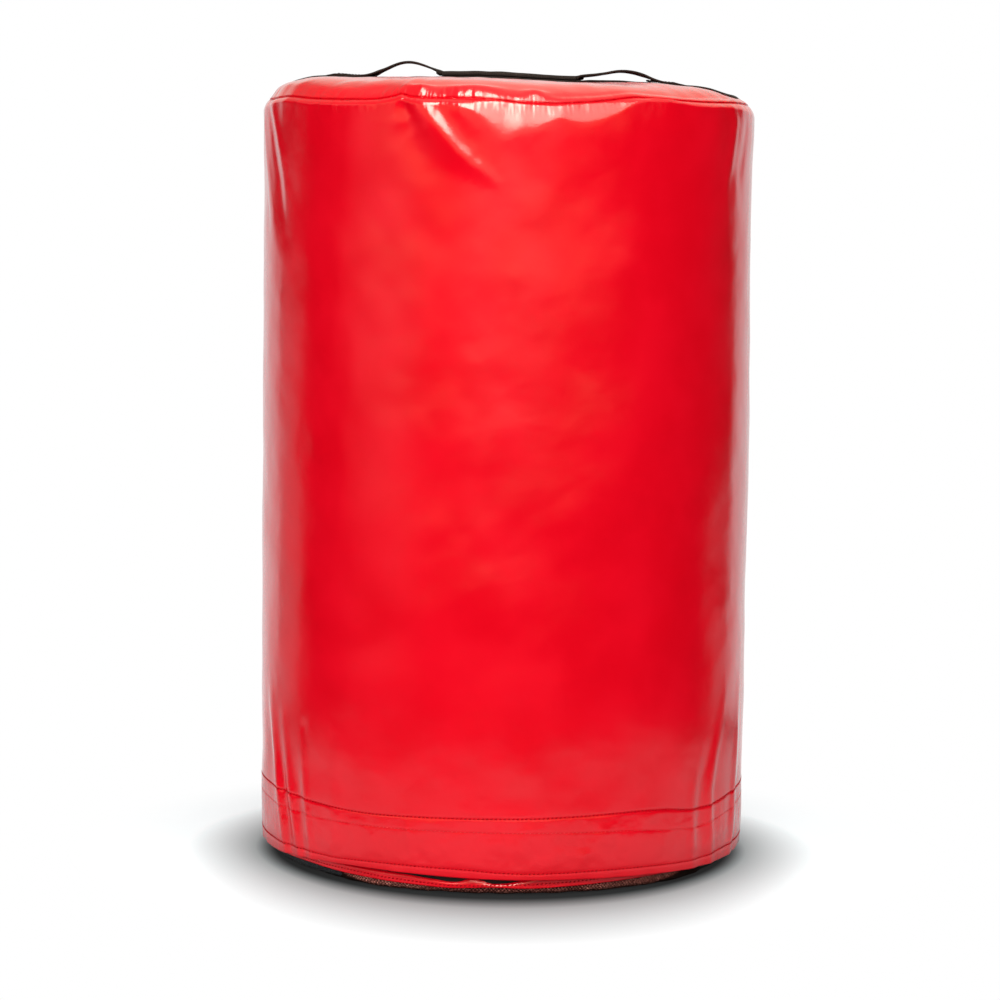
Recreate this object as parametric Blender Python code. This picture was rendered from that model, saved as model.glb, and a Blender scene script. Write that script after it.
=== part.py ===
"""A round tackling bag: a coated cover over a foam fill, with a carry handle on its crown.

Metres, +Z up. The origin is on the floor under the bag's centre. The handle's webbing runs
along X, the wall's lap seam is at +Y and the bag's plain face looks towards -Y.
"""

from functools import lru_cache
from math import cos, hypot, log, pi, radians, sin, sqrt, tau

import bmesh
import bpy
from mathutils import Vector

# The cover's wall
BAG_RADIUS = 0.2300
SEAM_HEIGHT = 0.7167
HEM_HEIGHT = 0.0165
SHEET = 0.0008
SWELL = 0.0015
SEAM_TUCK = 0.0030
LAP_WIDTH = 0.0300
LAP_EDGE = 0.0004
LAP_FADE = 0.0140
HEM_MARGIN = 0.0020
# Heights as shares of the wall, each with the share of the swell that it stands out by
WALL_SWELL_SHARES = (
    (0.000, -1.1),
    (0.020, -0.1),
    (0.060, 0.6),
    (0.130, 0.1),
    (0.240, -0.8),
    (0.400, -0.5),
    (0.600, 0.1),
    (0.840, -0.1),
    (0.910, 0.5),
    (0.952, 1.0),
    (0.980, 0.7),
    (0.993, -0.5),
)

# The lid: a dome whose skirt is sewn inside the wall's top edge
CROWN_RISE = 0.0225
CROWN_POWER = 3
CROWN_ROOT = 0.4
LIP_RISE = 0.0018
LIP_STAND = 0.0010
SEAM_ALLOWANCE = 0.0150
CROWN_SHARES = (0, 0.25, 0.45, 0.62, 0.76, 0.87, 0.94, 0.98, 1)

# The hook-and-loop closure round the base
TAPE_WIDTH = 0.0500
TAPE_THICKNESS = 0.0010
TAPE_INSET = 0.0065

# The base: a woven disc with a strip of the cover's sheet round it
WEAVE = 0.0008
BASE_CORNER = 0.0055
BASE_RIM = 0.0120
STRIP_EDGE_HEIGHT = 0.0055
STRIP_MARGIN = 0.0020
CORNER_STEPS = 4

# The foam fill
CORE_RADIUS = 0.1500
TOP_PAD_DEPTH = 0.0300
BASE_PAD_STAND = 0.0020

# The webbing over the lid and the handle that is sewn to it
WEB_WIDTH = 0.0380
WEB = 0.0018
HANDLE_SPAN = 0.2560
FOOT_LENGTH = 0.0460
GRIP_LENGTH = 0.1290
GRIP_WIDTH = 0.0220
ARCH_RISE_LEFT = 0.0108
ARCH_RISE_RIGHT = 0.0070
ARCH_PEAK_SHARE = 0.43
ARCH_POWER = 1.3
FOLD_START_SHARE = 0.5
FOLD_EDGE_SHARE = 0.35
LEG_STEPS = 16
GRIP_STEPS = 8
FOOT_STEPS = 3

# Clearances
GAP = 0.0003
FOAM_GAP = 0.0005
PIVOT_GAP = 0.0006

SEGMENTS = 64
SHARP_ANGLE = radians(35)

# Colours, as linear red, green and blue
RED_SHEET = (0.74, 0.008, 0.018)
BLACK_WEBBING = (0.016, 0.012, 0.011)
BLACK_TAPE = (0.020, 0.020, 0.022)
BROWN_WEAVE = (0.20, 0.060, 0.042)
WHITE_FOAM = (0.72, 0.68, 0.55)
CHIP_FOAM = (0.32, 0.36, 0.38)
DARK_FOAM = (0.060, 0.060, 0.065)

# Sizes that follow from the ones above
seam_radius = BAG_RADIUS - SEAM_TUCK
skirt_outer = seam_radius - SHEET - GAP
skirt_inner = skirt_outer - SHEET
lip_radius = seam_radius + LIP_STAND
lip_height = SEAM_HEIGHT + LIP_RISE
tape_bottom = HEM_HEIGHT + TAPE_INSET
tape_top = tape_bottom + TAPE_WIDTH
hem_top = tape_top + HEM_MARGIN
strip_top = tape_top + STRIP_MARGIN
base_pad_top = strip_top + BASE_PAD_STAND
top_pad_bottom = SEAM_HEIGHT - TOP_PAD_DEPTH
webbing_deck = GAP + WEB
handle_deck = webbing_deck + GAP
grip_thickness = 2 * WEB
leg_length = (HANDLE_SPAN - GRIP_LENGTH) / 2


# Outlines


def offset(points, distances):
    """The line of points moved to its left by the distance at each, with mitred corners."""
    steps = [(Vector(b) - Vector(a)).normalized() for a, b in zip(points, points[1:])]
    normals = [Vector((-step.y, step.x)) for step in steps]
    moved = []
    for i, (point, distance) in enumerate(zip(points, distances)):
        before, after = normals[max(i - 1, 0)], normals[min(i, len(normals) - 1)]
        mitre = (before + after) / (1 + before.dot(after))
        moved.append(tuple(Vector(point) + mitre * distance))
    return moved


def even_offset(points, distance):
    return offset(points, [distance] * len(points))


def value_at(place, points):
    """The second value of a line of (place, value) points, read at a place along it."""
    points = sorted(points)
    if place <= points[0][0]:
        return points[0][1]
    for (a, low), (b, high) in zip(points, points[1:]):
        if place <= b:
            return low + (high - low) * (place - a) / (b - a)
    return points[-1][1]


def wall_outside():
    """The wall's outer face from its hem to the seam, as (radius, height)."""
    length = SEAM_HEIGHT - HEM_HEIGHT
    points = [
        (BAG_RADIUS + SWELL * swell, HEM_HEIGHT + length * height)
        for height, swell in WALL_SWELL_SHARES
    ]
    return points + [(seam_radius, SEAM_HEIGHT)]


def wall_radius(height):
    return value_at(height, [(z, r) for r, z in wall_outside()])


def tape_heights():
    """The tape's edges and the heights between them where the wall's outline turns."""
    turns = [z for _, z in wall_outside() if tape_bottom < z < tape_top]
    return [tape_bottom, *turns, tape_top]


def loop_radius(height):
    """The loop tape's outer face, inside the two layers of the hem."""
    return wall_radius(height) - 2 * SHEET - GAP


def dome(radius, base_height):
    """A crown of the lid's form from the axis to its edge, as (radius, height)."""
    rises = [(1 - share**CROWN_POWER) ** CROWN_ROOT for share in CROWN_SHARES]
    return [
        (radius * share, base_height + CROWN_RISE * rise)
        for share, rise in zip(CROWN_SHARES, rises)
    ]


loop_inner = min(map(loop_radius, tape_heights())) - TAPE_THICKNESS
hook_outer = loop_inner - GAP
strip_outer = hook_outer - TAPE_THICKNESS - GAP
base_radius = strip_outer - SHEET - GAP
foam_radius = loop_inner - FOAM_GAP


# Meshes


def material(name, colour, roughness):
    """A plain non-metal finish."""
    made = bpy.data.materials.new(name)
    made.use_nodes = True
    shader = made.node_tree.nodes["Principled BSDF"]
    shader.inputs["Base Color"].default_value = (*colour, 1)
    shader.inputs["Roughness"].default_value = roughness
    shader.inputs["Metallic"].default_value = 0
    return made


def add_object(name, mesh, parent, colour, roughness, location=Vector()):
    """An object of bmesh geometry given in world space, with its origin at the location."""
    bmesh.ops.translate(mesh, verts=mesh.verts, vec=-location)
    bmesh.ops.recalc_face_normals(mesh, faces=mesh.faces)
    data = bpy.data.meshes.new(name)
    mesh.to_mesh(data)
    mesh.free()
    data.shade_smooth()
    data.set_sharp_from_angle(angle=SHARP_ANGLE)
    data.materials.append(material(name, colour, roughness))
    made = bpy.data.objects.new(name, data)
    made.location = location
    made.parent = parent
    bpy.context.scene.collection.objects.link(made)
    return made


def add_empty(name, parent=None):
    made = bpy.data.objects.new(name, None)
    made.parent = parent
    bpy.context.scene.collection.objects.link(made)
    return made


def plain_columns():
    return [(tau * i / SEGMENTS, 0) for i in range(SEGMENTS)]


def lap_columns():
    """Angles round the wall, each with how far the lap at the back stands out there."""
    back = tau / 4
    half = LAP_WIDTH / 2 / BAG_RADIUS
    edge = LAP_EDGE / BAG_RADIUS
    fade = LAP_FADE / BAG_RADIUS
    stand = [(back - half - fade, 0), (back - half, SHEET), (back + half - edge, SHEET)]
    stand.append((back + half, 0))
    turns = {angle for angle, _ in plain_columns()} | {angle for angle, _ in stand}
    return [(angle, value_at(angle, stand)) for angle in sorted(turns)]


def turned(outline, columns, raised=0):
    """An outline of (radius, height) turned round Z.

    It is a ring, or, where both of its ends are on the axis, a solid. The first raised points
    stand out by each column's own amount.
    """
    mesh = bmesh.new()
    ring = outline[0][0] > 0
    poles = {} if ring else {i: mesh.verts.new((0, 0, outline[i][1])) for i in (0, len(outline) - 1)}
    grid = []
    for angle, stand in columns:
        grid.append([])
        for i, (radius, height) in enumerate(outline):
            out = radius + (stand if i < raised else 0)
            point = (out * cos(angle), out * sin(angle), height)
            grid[-1].append(poles.get(i) or mesh.verts.new(point))
    for left, right in zip(grid, grid[1:] + grid[:1]):
        for i in range(len(outline) - (not ring)):
            j = (i + 1) % len(outline)
            corners = [left[i], right[i], right[j], left[j]]
            mesh.faces.new(list(dict.fromkeys(corners)))
    return mesh


def slab(lower, upper):
    """A closed strip between two grids of points, each a list of rows across it."""
    mesh = bmesh.new()
    low = [[mesh.verts.new(point) for point in row] for row in lower]
    top = [[mesh.verts.new(point) for point in row] for row in upper]
    for grid in (low, top):
        for row, after in zip(grid, grid[1:]):
            for a, b, c, d in zip(row, row[1:], after[1:], after):
                mesh.faces.new((a, b, c, d))
    for side in (0, -1):
        below = [row[side] for row in low]
        above = [row[side] for row in top]
        for a, b, c, d in zip(below, below[1:], above[1:], above):
            mesh.faces.new((a, b, c, d))
        for a, b, c, d in zip(low[side], low[side][1:], top[side][1:], top[side]):
            mesh.faces.new((a, b, c, d))
    return mesh


# The cover


def wall_panel(parent):
    outside = wall_outside()
    inside = [(r - SHEET, z) for r, z in outside if z > hem_top]
    hem = [(r - 2 * SHEET, z) for r, z in outside if z < hem_top]
    step = [(wall_radius(hem_top) - layers * SHEET, hem_top) for layers in (2, 1)]
    outline = outside[::-1] + hem + step + inside
    mesh = turned(outline, lap_columns(), raised=len(outside))
    add_object("wall_panel", mesh, parent, RED_SHEET, 0.25)


def top_panel(parent):
    fold = [(skirt_outer, SEAM_HEIGHT + GAP), (skirt_outer, SEAM_HEIGHT - SEAM_ALLOWANCE)]
    outside = dome(lip_radius, lip_height) + fold
    inside = even_offset(outside, -SHEET)
    inside[0] = (0, inside[0][1])
    mesh = turned(outside + inside[::-1], plain_columns())
    add_object("top_panel", mesh, parent, RED_SHEET, 0.25)


def loop_tape(parent):
    heights = tape_heights()
    outside = [(loop_radius(z), z) for z in heights]
    inside = [(r - TAPE_THICKNESS, z) for r, z in outside]
    mesh = turned(outside + inside[::-1], plain_columns())
    add_object("loop_tape", mesh, parent, BLACK_TAPE, 0.9)


# The base


def base_outside():
    """The woven base's outer face, from the floor's centre up its rim."""
    centre = (base_radius - BASE_CORNER, BASE_CORNER)
    turns = [tau / 4 * (i / CORNER_STEPS - 1) for i in range(CORNER_STEPS + 1)]
    corner = [(centre[0] + BASE_CORNER * cos(a), centre[1] + BASE_CORNER * sin(a)) for a in turns]
    return [(0, 0), *corner]


def base_panel(parent):
    outside = base_outside() + [(base_radius, BASE_CORNER + BASE_RIM)]
    inside = even_offset(outside, WEAVE)
    inside[0] = (0, WEAVE)
    mesh = turned(outside + inside[::-1], plain_columns())
    add_object("base_panel", mesh, parent, BROWN_WEAVE, 0.9)


def ring(name, outer, thickness, bottom, top, parent, colour, roughness):
    inner = outer - thickness
    outline = [(outer, bottom), (outer, top), (inner, top), (inner, bottom)]
    add_object(name, turned(outline, plain_columns()), parent, colour, roughness)


def base_closure(parent):
    ring("base_upstand", strip_outer, SHEET, STRIP_EDGE_HEIGHT, strip_top, parent, RED_SHEET, 0.3)
    ring("hook_tape", hook_outer, TAPE_THICKNESS, tape_bottom, tape_top, parent, BLACK_TAPE, 0.9)


# The foam


def foam(parent):
    below = even_offset(base_outside() + [(base_radius, base_pad_top)], WEAVE + FOAM_GAP)
    below[0] = (0, below[0][1])
    pad = turned(below + [(0, base_pad_top)], plain_columns())
    add_object("foam_base_disc", pad, parent, DARK_FOAM, 0.95)

    bottom, top = base_pad_top + GAP, top_pad_bottom - GAP
    core = turned([(0, bottom), (CORE_RADIUS, bottom), (CORE_RADIUS, top), (0, top)], plain_columns())
    add_object("foam_core", core, parent, CHIP_FOAM, 0.95)
    thickness = foam_radius - CORE_RADIUS - GAP
    ring("foam_wrap", foam_radius, thickness, bottom, top, parent, WHITE_FOAM, 0.95)

    crown = dome(skirt_inner - FOAM_GAP, lip_height - SHEET - FOAM_GAP)
    outline = crown + [(skirt_inner - FOAM_GAP, top_pad_bottom), (0, top_pad_bottom)]
    add_object("foam_top_disc", turned(outline, plain_columns()), parent, WHITE_FOAM, 0.95)


# The webbing and the handle


@lru_cache(maxsize=None)
def skin(rise):
    """The lid's outline moved out by a distance, as (radius, height)."""
    moved = even_offset(dome(lip_radius, lip_height), rise)
    return [(0, moved[0][1]), *moved[1:]]


def on_lid(place, across, rise):
    """A point over the lid, place along the webbing from the crown and across it."""
    edge = lip_radius + rise
    x = place * sqrt(1 - (across / edge) ** 2)
    return Vector((x, across, value_at(hypot(x, across), skin(rise))))


def across(width, shares=(-1, -0.5, 0, 0.5, 1)):
    return [share * width / 2 for share in shares]


def webbing(places, rise, thickness, width):
    """A strip of webbing lying over the lid at a height above it."""
    lower = [[on_lid(place, y, rise) for y in across(width)] for place in places]
    upper = [[on_lid(place, y, rise + thickness) for y in across(width)] for place in places]
    return slab(lower, upper)


def evenly(start, end, steps):
    return [start + (end - start) * i / steps for i in range(steps + 1)]


def lid_strap(parent):
    """The webbing across the whole lid, from seam to seam."""
    grids = []
    for rise in (GAP, webbing_deck):
        radii = [r for r, _ in skin(rise)]
        places = [-r for r in radii[:0:-1]] + radii
        grids.append([[on_lid(place, y, rise) for y in across(WEB_WIDTH)] for place in places])
    add_object("lid_strap", slab(*grids), parent, BLACK_WEBBING, 0.8)


def handle_foot(name, side, parent):
    places = evenly(side * (HANDLE_SPAN / 2 + FOOT_LENGTH), side * HANDLE_SPAN / 2, FOOT_STEPS)
    mesh = webbing(places, handle_deck, WEB, WEB_WIDTH)
    add_object(name, mesh, parent, BLACK_WEBBING, 0.8)


def arch(share):
    """The height of the slack leg at a share of its length from the foot, as a share of its rise."""
    skew = log(0.5) / log(ARCH_PEAK_SHARE)
    return sin(pi * share**skew) ** ARCH_POWER if 0 < share < 1 else 0


def folded(share):
    """How far the leg is folded lengthwise into the grip, from 0 at the foot to 1."""
    t = max(0, (share - FOLD_START_SHARE) / (1 - FOLD_START_SHARE))
    return t * t * (3 - 2 * t)


def rounded(row_low, row_top, fold):
    """The two faces of a row drawn together at its edges, as the fold rounds them."""
    for end in (0, -1):
        draw = (row_top[end] - row_low[end]) * FOLD_EDGE_SHARE * fold
        row_low[end] += draw
        row_top[end] -= draw


def handle_leg(name, side, rise, parent):
    """A slack leg that arches from its foot to the grip and folds lengthwise on the way."""
    foot = side * HANDLE_SPAN / 2
    ends = foot - side * PIVOT_GAP, foot - side * (leg_length - PIVOT_GAP)
    places = evenly(*ends, LEG_STEPS)
    shares = [i / LEG_STEPS for i in range(LEG_STEPS + 1)]
    path = [
        (place, on_lid(place, 0, handle_deck).z + rise * arch(share))
        for place, share in zip(places, shares)
    ]
    thickness = [WEB + (grip_thickness - WEB) * folded(share) for share in shares]
    raised = offset(path, [-side * t for t in thickness])
    # The ends stay upright, so that they meet the foot and the grip squarely
    for end in (0, -1):
        raised[end] = (path[end][0], path[end][1] + thickness[end])
    lower, upper = [], []
    for share, low, top in zip(shares, path, raised):
        width = WEB_WIDTH + (GRIP_WIDTH - WEB_WIDTH) * folded(share)
        rows = []
        for place, height in (low, top):
            crown = on_lid(place, 0, handle_deck).z
            points = [on_lid(place, y, handle_deck) for y in across(width)]
            rows.append([point + Vector((0, 0, height - crown)) for point in points])
        rounded(*rows, folded(share))
        lower.append(rows[0])
        upper.append(rows[1])
    pivot = on_lid(foot, 0, handle_deck + WEB / 2)
    add_object(name, slab(lower, upper), parent, BLACK_WEBBING, 0.8, pivot)


def handle_grip(parent):
    """The middle of the handle, folded lengthwise and lying on the lid's webbing."""
    places = evenly(-GRIP_LENGTH / 2, GRIP_LENGTH / 2, GRIP_STEPS)
    lower, upper = [], []
    for place in places:
        low = [on_lid(place, y, handle_deck) for y in across(GRIP_WIDTH)]
        top = [on_lid(place, y, handle_deck + grip_thickness) for y in across(GRIP_WIDTH)]
        rounded(low, top, 1)
        lower.append(low)
        upper.append(top)
    add_object("handle_grip", slab(lower, upper), parent, BLACK_WEBBING, 0.8)


def build():
    for old in list(bpy.data.objects):
        bpy.data.objects.remove(old)
    base = add_empty("base")
    fill = add_empty("foam", base)
    cover = add_empty("cover", fill)

    base_panel(base)
    base_closure(base)
    foam(fill)
    wall_panel(cover)
    top_panel(cover)
    loop_tape(cover)
    lid_strap(cover)
    handle_foot("handle_foot_left", -1, cover)
    handle_foot("handle_foot_right", 1, cover)
    handle_leg("handle_leg_left", -1, ARCH_RISE_LEFT, cover)
    handle_leg("handle_leg_right", 1, ARCH_RISE_RIGHT, cover)
    handle_grip(cover)


build()
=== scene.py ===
# %% [markdown]
# # A tackling bag, dressed piece by piece
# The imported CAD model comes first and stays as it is: it says where every piece is and how it
# moves. Each soft solid in it is then replaced by a fuller piece with its folds, seams and
# stitches, made of cloth, foam or webbing. Everything here is in metres, with +Z up, the bag's
# plain face towards -Y and the handle's webbing along X.

import bmesh
import bpy
import numpy as np
from mathutils import Matrix, Vector


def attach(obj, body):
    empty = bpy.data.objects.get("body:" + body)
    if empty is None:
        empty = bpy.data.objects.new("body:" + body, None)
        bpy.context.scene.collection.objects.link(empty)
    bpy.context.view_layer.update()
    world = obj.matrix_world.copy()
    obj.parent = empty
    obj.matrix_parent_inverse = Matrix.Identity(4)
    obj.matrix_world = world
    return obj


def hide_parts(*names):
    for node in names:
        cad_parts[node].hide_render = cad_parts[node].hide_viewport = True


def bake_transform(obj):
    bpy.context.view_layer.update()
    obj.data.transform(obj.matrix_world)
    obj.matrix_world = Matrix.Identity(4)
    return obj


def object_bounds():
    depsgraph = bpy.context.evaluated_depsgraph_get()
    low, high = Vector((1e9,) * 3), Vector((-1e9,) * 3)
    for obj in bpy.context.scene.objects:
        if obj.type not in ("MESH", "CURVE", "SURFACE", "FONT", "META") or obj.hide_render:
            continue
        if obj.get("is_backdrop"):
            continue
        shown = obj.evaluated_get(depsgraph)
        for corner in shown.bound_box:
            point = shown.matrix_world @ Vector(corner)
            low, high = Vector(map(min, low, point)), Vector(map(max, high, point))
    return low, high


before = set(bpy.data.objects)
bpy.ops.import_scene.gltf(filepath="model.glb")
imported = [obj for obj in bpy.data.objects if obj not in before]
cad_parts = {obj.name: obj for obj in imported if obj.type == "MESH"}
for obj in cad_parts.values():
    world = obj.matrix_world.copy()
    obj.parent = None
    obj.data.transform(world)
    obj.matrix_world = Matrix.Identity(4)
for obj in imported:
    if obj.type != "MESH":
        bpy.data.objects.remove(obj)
cad_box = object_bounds()
print("nodes:", len(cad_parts))

# %% [markdown]
# ## The camera
# The photograph was taken from about 3.3 m away with a long lens, a little under the height of
# the lid. Its place was solved from the bag's outline and its rows of stitches. The bag stands
# turned by a few degrees, so the camera is turned round the bag instead, and the part's own
# axes stay where the CAD has them.

# %% The camera at the photograph's viewing angle
MM = 0.001
VIEW_TURN = 9.0
CAMERA_DISTANCE, CAMERA_HEIGHT, CAMERA_ASIDE = 3.2631, 0.6788, -0.0046
CAMERA_PITCH, CAMERA_ROLL = 5.975, 0.708
FOCAL_PIXELS, SENSOR, PHOTO_SIZE = 3409.1, 36, 1000


def turned(degrees, axis):
    return Matrix.Rotation(np.radians(degrees), 4, axis)


def in_scene(name, data):
    """A new object in the scene."""
    made = bpy.data.objects.new(name, data)
    bpy.context.scene.collection.objects.link(made)
    return made


camera = in_scene("camera", bpy.data.cameras.new("camera"))
bpy.context.scene.camera = camera
camera.data.sensor_width = SENSOR
camera.data.lens = FOCAL_PIXELS * SENSOR / PHOTO_SIZE
place = Matrix.Translation((CAMERA_ASIDE, -CAMERA_DISTANCE, CAMERA_HEIGHT))
aim = turned(90 - CAMERA_PITCH, "X") @ turned(CAMERA_ROLL, "Z")
camera.matrix_world = turned(VIEW_TURN, "Z") @ place @ aim
print("lens:", round(camera.data.lens, 1), "mm")

# %% [markdown]
# ## Writing materials as sums
# A finish is a tree of nodes. Placing each node by hand takes long, so one small class wraps a
# socket, and Python's own signs then add the Math nodes: `1 - mask` is a Subtract node. Every
# other node comes from `Finish.node`, which takes the node's type, its settings and what its
# sockets get.


# %% Sockets that can be added and multiplied
class Value:
    """A socket's value in a finish."""

    def __init__(self, finish, socket):
        self.finish, self.socket = finish, socket

    def maths(self, operation, *others):
        return self.finish.node("Math", {"operation": operation}, dict(enumerate((self, *others))))

    def __add__(self, other):
        return self.maths("ADD", other)

    def __sub__(self, other):
        return self.maths("SUBTRACT", other)

    def __mul__(self, other):
        return self.maths("MULTIPLY", other)

    def __truediv__(self, other):
        return self.maths("DIVIDE", other)

    def __rsub__(self, other):
        return self.finish.node("Math", {"operation": "SUBTRACT"}, {0: other, 1: self})

    __radd__, __rmul__ = __add__, __mul__

    def between(self, low, high, start=0, end=1, smooth=True):
        """The value's way from low to high as a smooth step from start to end."""
        kind = {"interpolation_type": "SMOOTHSTEP" if smooth else "LINEAR"}
        return self.finish.node("MapRange", kind, {0: self, 1: low, 2: high, 3: start, 4: end})

    def near(self, place, low, high, start=1):
        """start at a place on the value's scale, and down to 0 from low to high away from it."""
        return (self - place).maths("ABSOLUTE").between(low, high, start, 0)

    def sine(self, length):
        """A wave between -1 and 1 that repeats after a length."""
        return (self * (2 * np.pi / length)).maths("SINE")

    def parts(self):
        """A vector's x, y and z."""
        split = self.finish.node("SeparateXYZ", {}, {0: self}).socket.node
        return [Value(self.finish, output) for output in split.outputs]


class Finish:
    """A tree of nodes being written: a material's, or the world's."""

    def __init__(self, tree):
        self.tree = tree

    def node(self, kind, settings, sockets, output=0):
        made = self.tree.nodes.new("ShaderNode" + kind)
        stops = settings.pop("stops", ())
        for name, setting in settings.items():
            setattr(made, name, setting)
        for element, (position, colour) in zip(made.color_ramp.elements if stops else (), stops):
            element.position, element.color = position, (*colour, 1)
        for name, value in sockets.items():
            self.feed(made.inputs[name], value)
        return Value(self, made.outputs[output])

    def feed(self, socket, value):
        if isinstance(value, Value):
            self.tree.links.new(value.socket, socket)
        else:
            socket.default_value = value

    def mix(self, share, first, second):
        """Two colours mixed by a share."""
        first, second = [c if isinstance(c, Value) else (*c, 1) for c in (first, second)]
        return self.node("Mix", {"data_type": "RGBA"}, {0: share, 6: first, 7: second}, 2)

    def noise(self, where, scale, detail=2, roughness=0.5):
        sockets = {"Vector": where, "Scale": scale, "Detail": detail, "Roughness": roughness}
        return self.node("TexNoise", {}, sockets)

    def vector(self, x, y, z):
        return self.node("CombineXYZ", {}, {0: x, 1: y, 2: z})

    def end_in(self, shader):
        self.feed(self.tree.nodes["Material Output"].inputs["Surface"], shader)

    def ray(self, kind):
        """1 for the rays of a kind, such as Camera or Glossy, and 0 for the others."""
        return self.node("LightPath", {}, {}, f"Is {kind} Ray")

    def place(self):
        """The place on the piece, in metres."""
        return self.node("TexCoord", {}, {}, "Object")


print("finishes are written as sums of sockets")

# %% [markdown]
# ## The studio
# The bag stands on a white sweep: white behind it and under it, and a dark room on the side of
# the camera. That is why its two edges show a soft white reflection, while the middle of its
# face stays a deep red. One large soft light hangs in front and above. It makes the small
# highlights along the seam, where the sheet leans back, and a broad warm sheen below them.

# %% The white sweep as a world
WHITE, ROOM, GLOSS_ROOM, CEILING = 1.0, 0.05, 0.004, 0.50
MIDDLE_OF_SWEEP = turned(7.5, "Z") @ Vector((0, 1, 0))
RIGHT_OF_SWEEP = turned(-82.5, "Z") @ Vector((0, 1, 0))


def sweep_in_gloss(finish, direction):
    """How white the sweep looks in a reflection.

    It is a wedge behind the bag, and dimmer clouds beside it low down.
    """
    x, y, up = direction.parts()
    flat = (x * x + y * y).maths("SQRT")
    middle = (x * MIDDLE_OF_SWEEP.x + y * MIDDLE_OF_SWEEP.y) / flat
    right = (x * RIGHT_OF_SWEEP.x + y * RIGHT_OF_SWEEP.y) / flat
    # Its right edge stands a little nearer to its middle, except low down
    turned_in = right.between(0.1, 0.3) * up.between(-0.135, -0.10, 0, 0.055)
    # Both edges do so at the bag's top
    turned_in = turned_in + up.between(-0.035, -0.006, 0, 0.045)
    wedge = (middle - turned_in).between(0.658, 0.703) * (1 - middle.between(0.93, 0.998) * 0.08)
    left_cloud = middle.between(0.24, 0.40) * right.between(-0.1, 0.0, 1, 0)
    left_cloud = left_cloud * up.between(-0.05, -0.02, 0.5, 0)
    right_cloud = middle.between(0.30, 0.50) * right.between(0.0, 0.1)
    right_cloud = right_cloud * up.between(-0.165, -0.11, 0.6, 0)
    return wedge.maths("MAXIMUM", left_cloud).maths("MAXIMUM", right_cloud)


world = bpy.data.worlds.new("studio")
bpy.context.scene.world = world
world.use_nodes = True
air = Finish(world.node_tree)
direction = air.node("TexCoord", {}, {}, "Generated")
across_room, along_room, upward = direction.parts()
towards_back = turned(VIEW_TURN - 4, "Z") @ Vector((0, 1, 0))
behind = across_room * towards_back.x + along_room * towards_back.y
soft_sky = behind.between(0.45, 0.80, ROOM, WHITE).maths("MAXIMUM", upward.between(0.45, 0.95, 0, CEILING))
ahead = along_room * -1
front_glow = (ahead + upward * 3).between(0.42, 0.86) * upward.between(-0.070, 0.015, 0, 1.0)
mirrored_sky = sweep_in_gloss(air, direction).maths("MAXIMUM", front_glow) + GLOSS_ROOM
# The upper left of the room is darker, which the lid's shoulder on that side shows
upper_left = (across_room * -1).between(0.15, 0.40) * upward.between(0.26, 0.46)
mirrored_sky = mirrored_sky * (1 - upper_left * 0.66)
in_gloss, seen = air.ray("Glossy"), air.ray("Camera")
lit = mirrored_sky * in_gloss + soft_sky * (1 - in_gloss)
white = lit.maths("MAXIMUM", seen)
warm = upward.between(-0.05, 0.6, 0, 0.5).maths("MAXIMUM", ahead.between(0.2, 0.5)) * in_gloss
sky = air.vector(white, white * (1 - warm * 0.10), white * (1 - warm * 0.52))
air.feed(world.node_tree.nodes["Background"].inputs["Color"], sky)
bpy.context.scene.view_settings.view_transform = "Standard"
print("world: white behind the bag, dark on the camera's side")


# %% The soft lights
def softbox(name, turn, distance, height, size, power, aim_height=0.42, mirrored=False, tint=(1, 1, 1)):
    """A rectangular light round the bag, seen in its gloss or else lighting it."""
    lamp = bpy.data.lights.new(name, "AREA")
    lamp.shape, lamp.size, lamp.size_y = "RECTANGLE", *size
    lamp.energy, lamp.color = power, tint
    made = in_scene(name, lamp)
    spot = turned(VIEW_TURN + turn, "Z") @ Vector((0, -distance, height))
    facing = (Vector((0, 0, aim_height)) - spot).to_track_quat("-Z", "Y")
    made.matrix_world = Matrix.LocRotScale(spot, facing, None)
    made.visible_glossy, made.visible_diffuse = mirrored, not mirrored
    return made


WARM = (1, 0.93, 0.78)
# The mirrored one is brighter at its left end, so it is three that overlap
softbox("light_in_the_gloss_left", -12, 2.0, 2.5, (1.0, 2.5), 125, 0.7, mirrored=True, tint=WARM)
softbox("light_in_the_gloss_middle", 0.5, 2.0, 2.5, (2.0, 2.5), 75, 0.7, mirrored=True, tint=WARM)
softbox("light_in_the_gloss", 13.5, 2.0, 2.5, (3.3, 2.5), 120, 0.7, mirrored=True, tint=WARM)
softbox("light_above", 14, 1.8, 2.1, (2.2, 1.2), 52, 0.5)
softbox("light_front", 0, 3.4, 1.1, (2.4, 1.6), 40)
softbox("light_left", -58, 2.8, 0.9, (1.6, 1.8), 25)
print("six soft lights")


# %% The floor under the bag
def radial(finish, place):
    x, y, z = place.parts()
    return (x * x + y * y).maths("SQRT")


FLOOR_RADIUS = 0.95
bpy.ops.object.select_all(action="DESELECT")
just_below = (0, 0, -0.0004)
bpy.ops.mesh.primitive_circle_add(vertices=96, radius=FLOOR_RADIUS, fill_type="NGON", location=just_below)
floor = bpy.context.object
floor.name = "floor"
bpy.ops.object.transform_apply(location=True)
floor.data.materials.append(bpy.data.materials.new("white_floor"))
floor.data.materials[0].use_nodes = True
paint = Finish(floor.data.materials[0].node_tree)
paint.tree.nodes.remove(paint.tree.nodes["Principled BSDF"])
spot = paint.place()
floor_x, floor_y, _ = spot.parts()
away = radial(paint, spot)
towards_camera = turned(VIEW_TURN, "Z") @ Vector((0, -1, 0))
in_front = ((floor_x * towards_camera.x + floor_y * towards_camera.y) / away).maths("MAXIMUM", 0)
in_front = in_front * in_front * in_front
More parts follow.
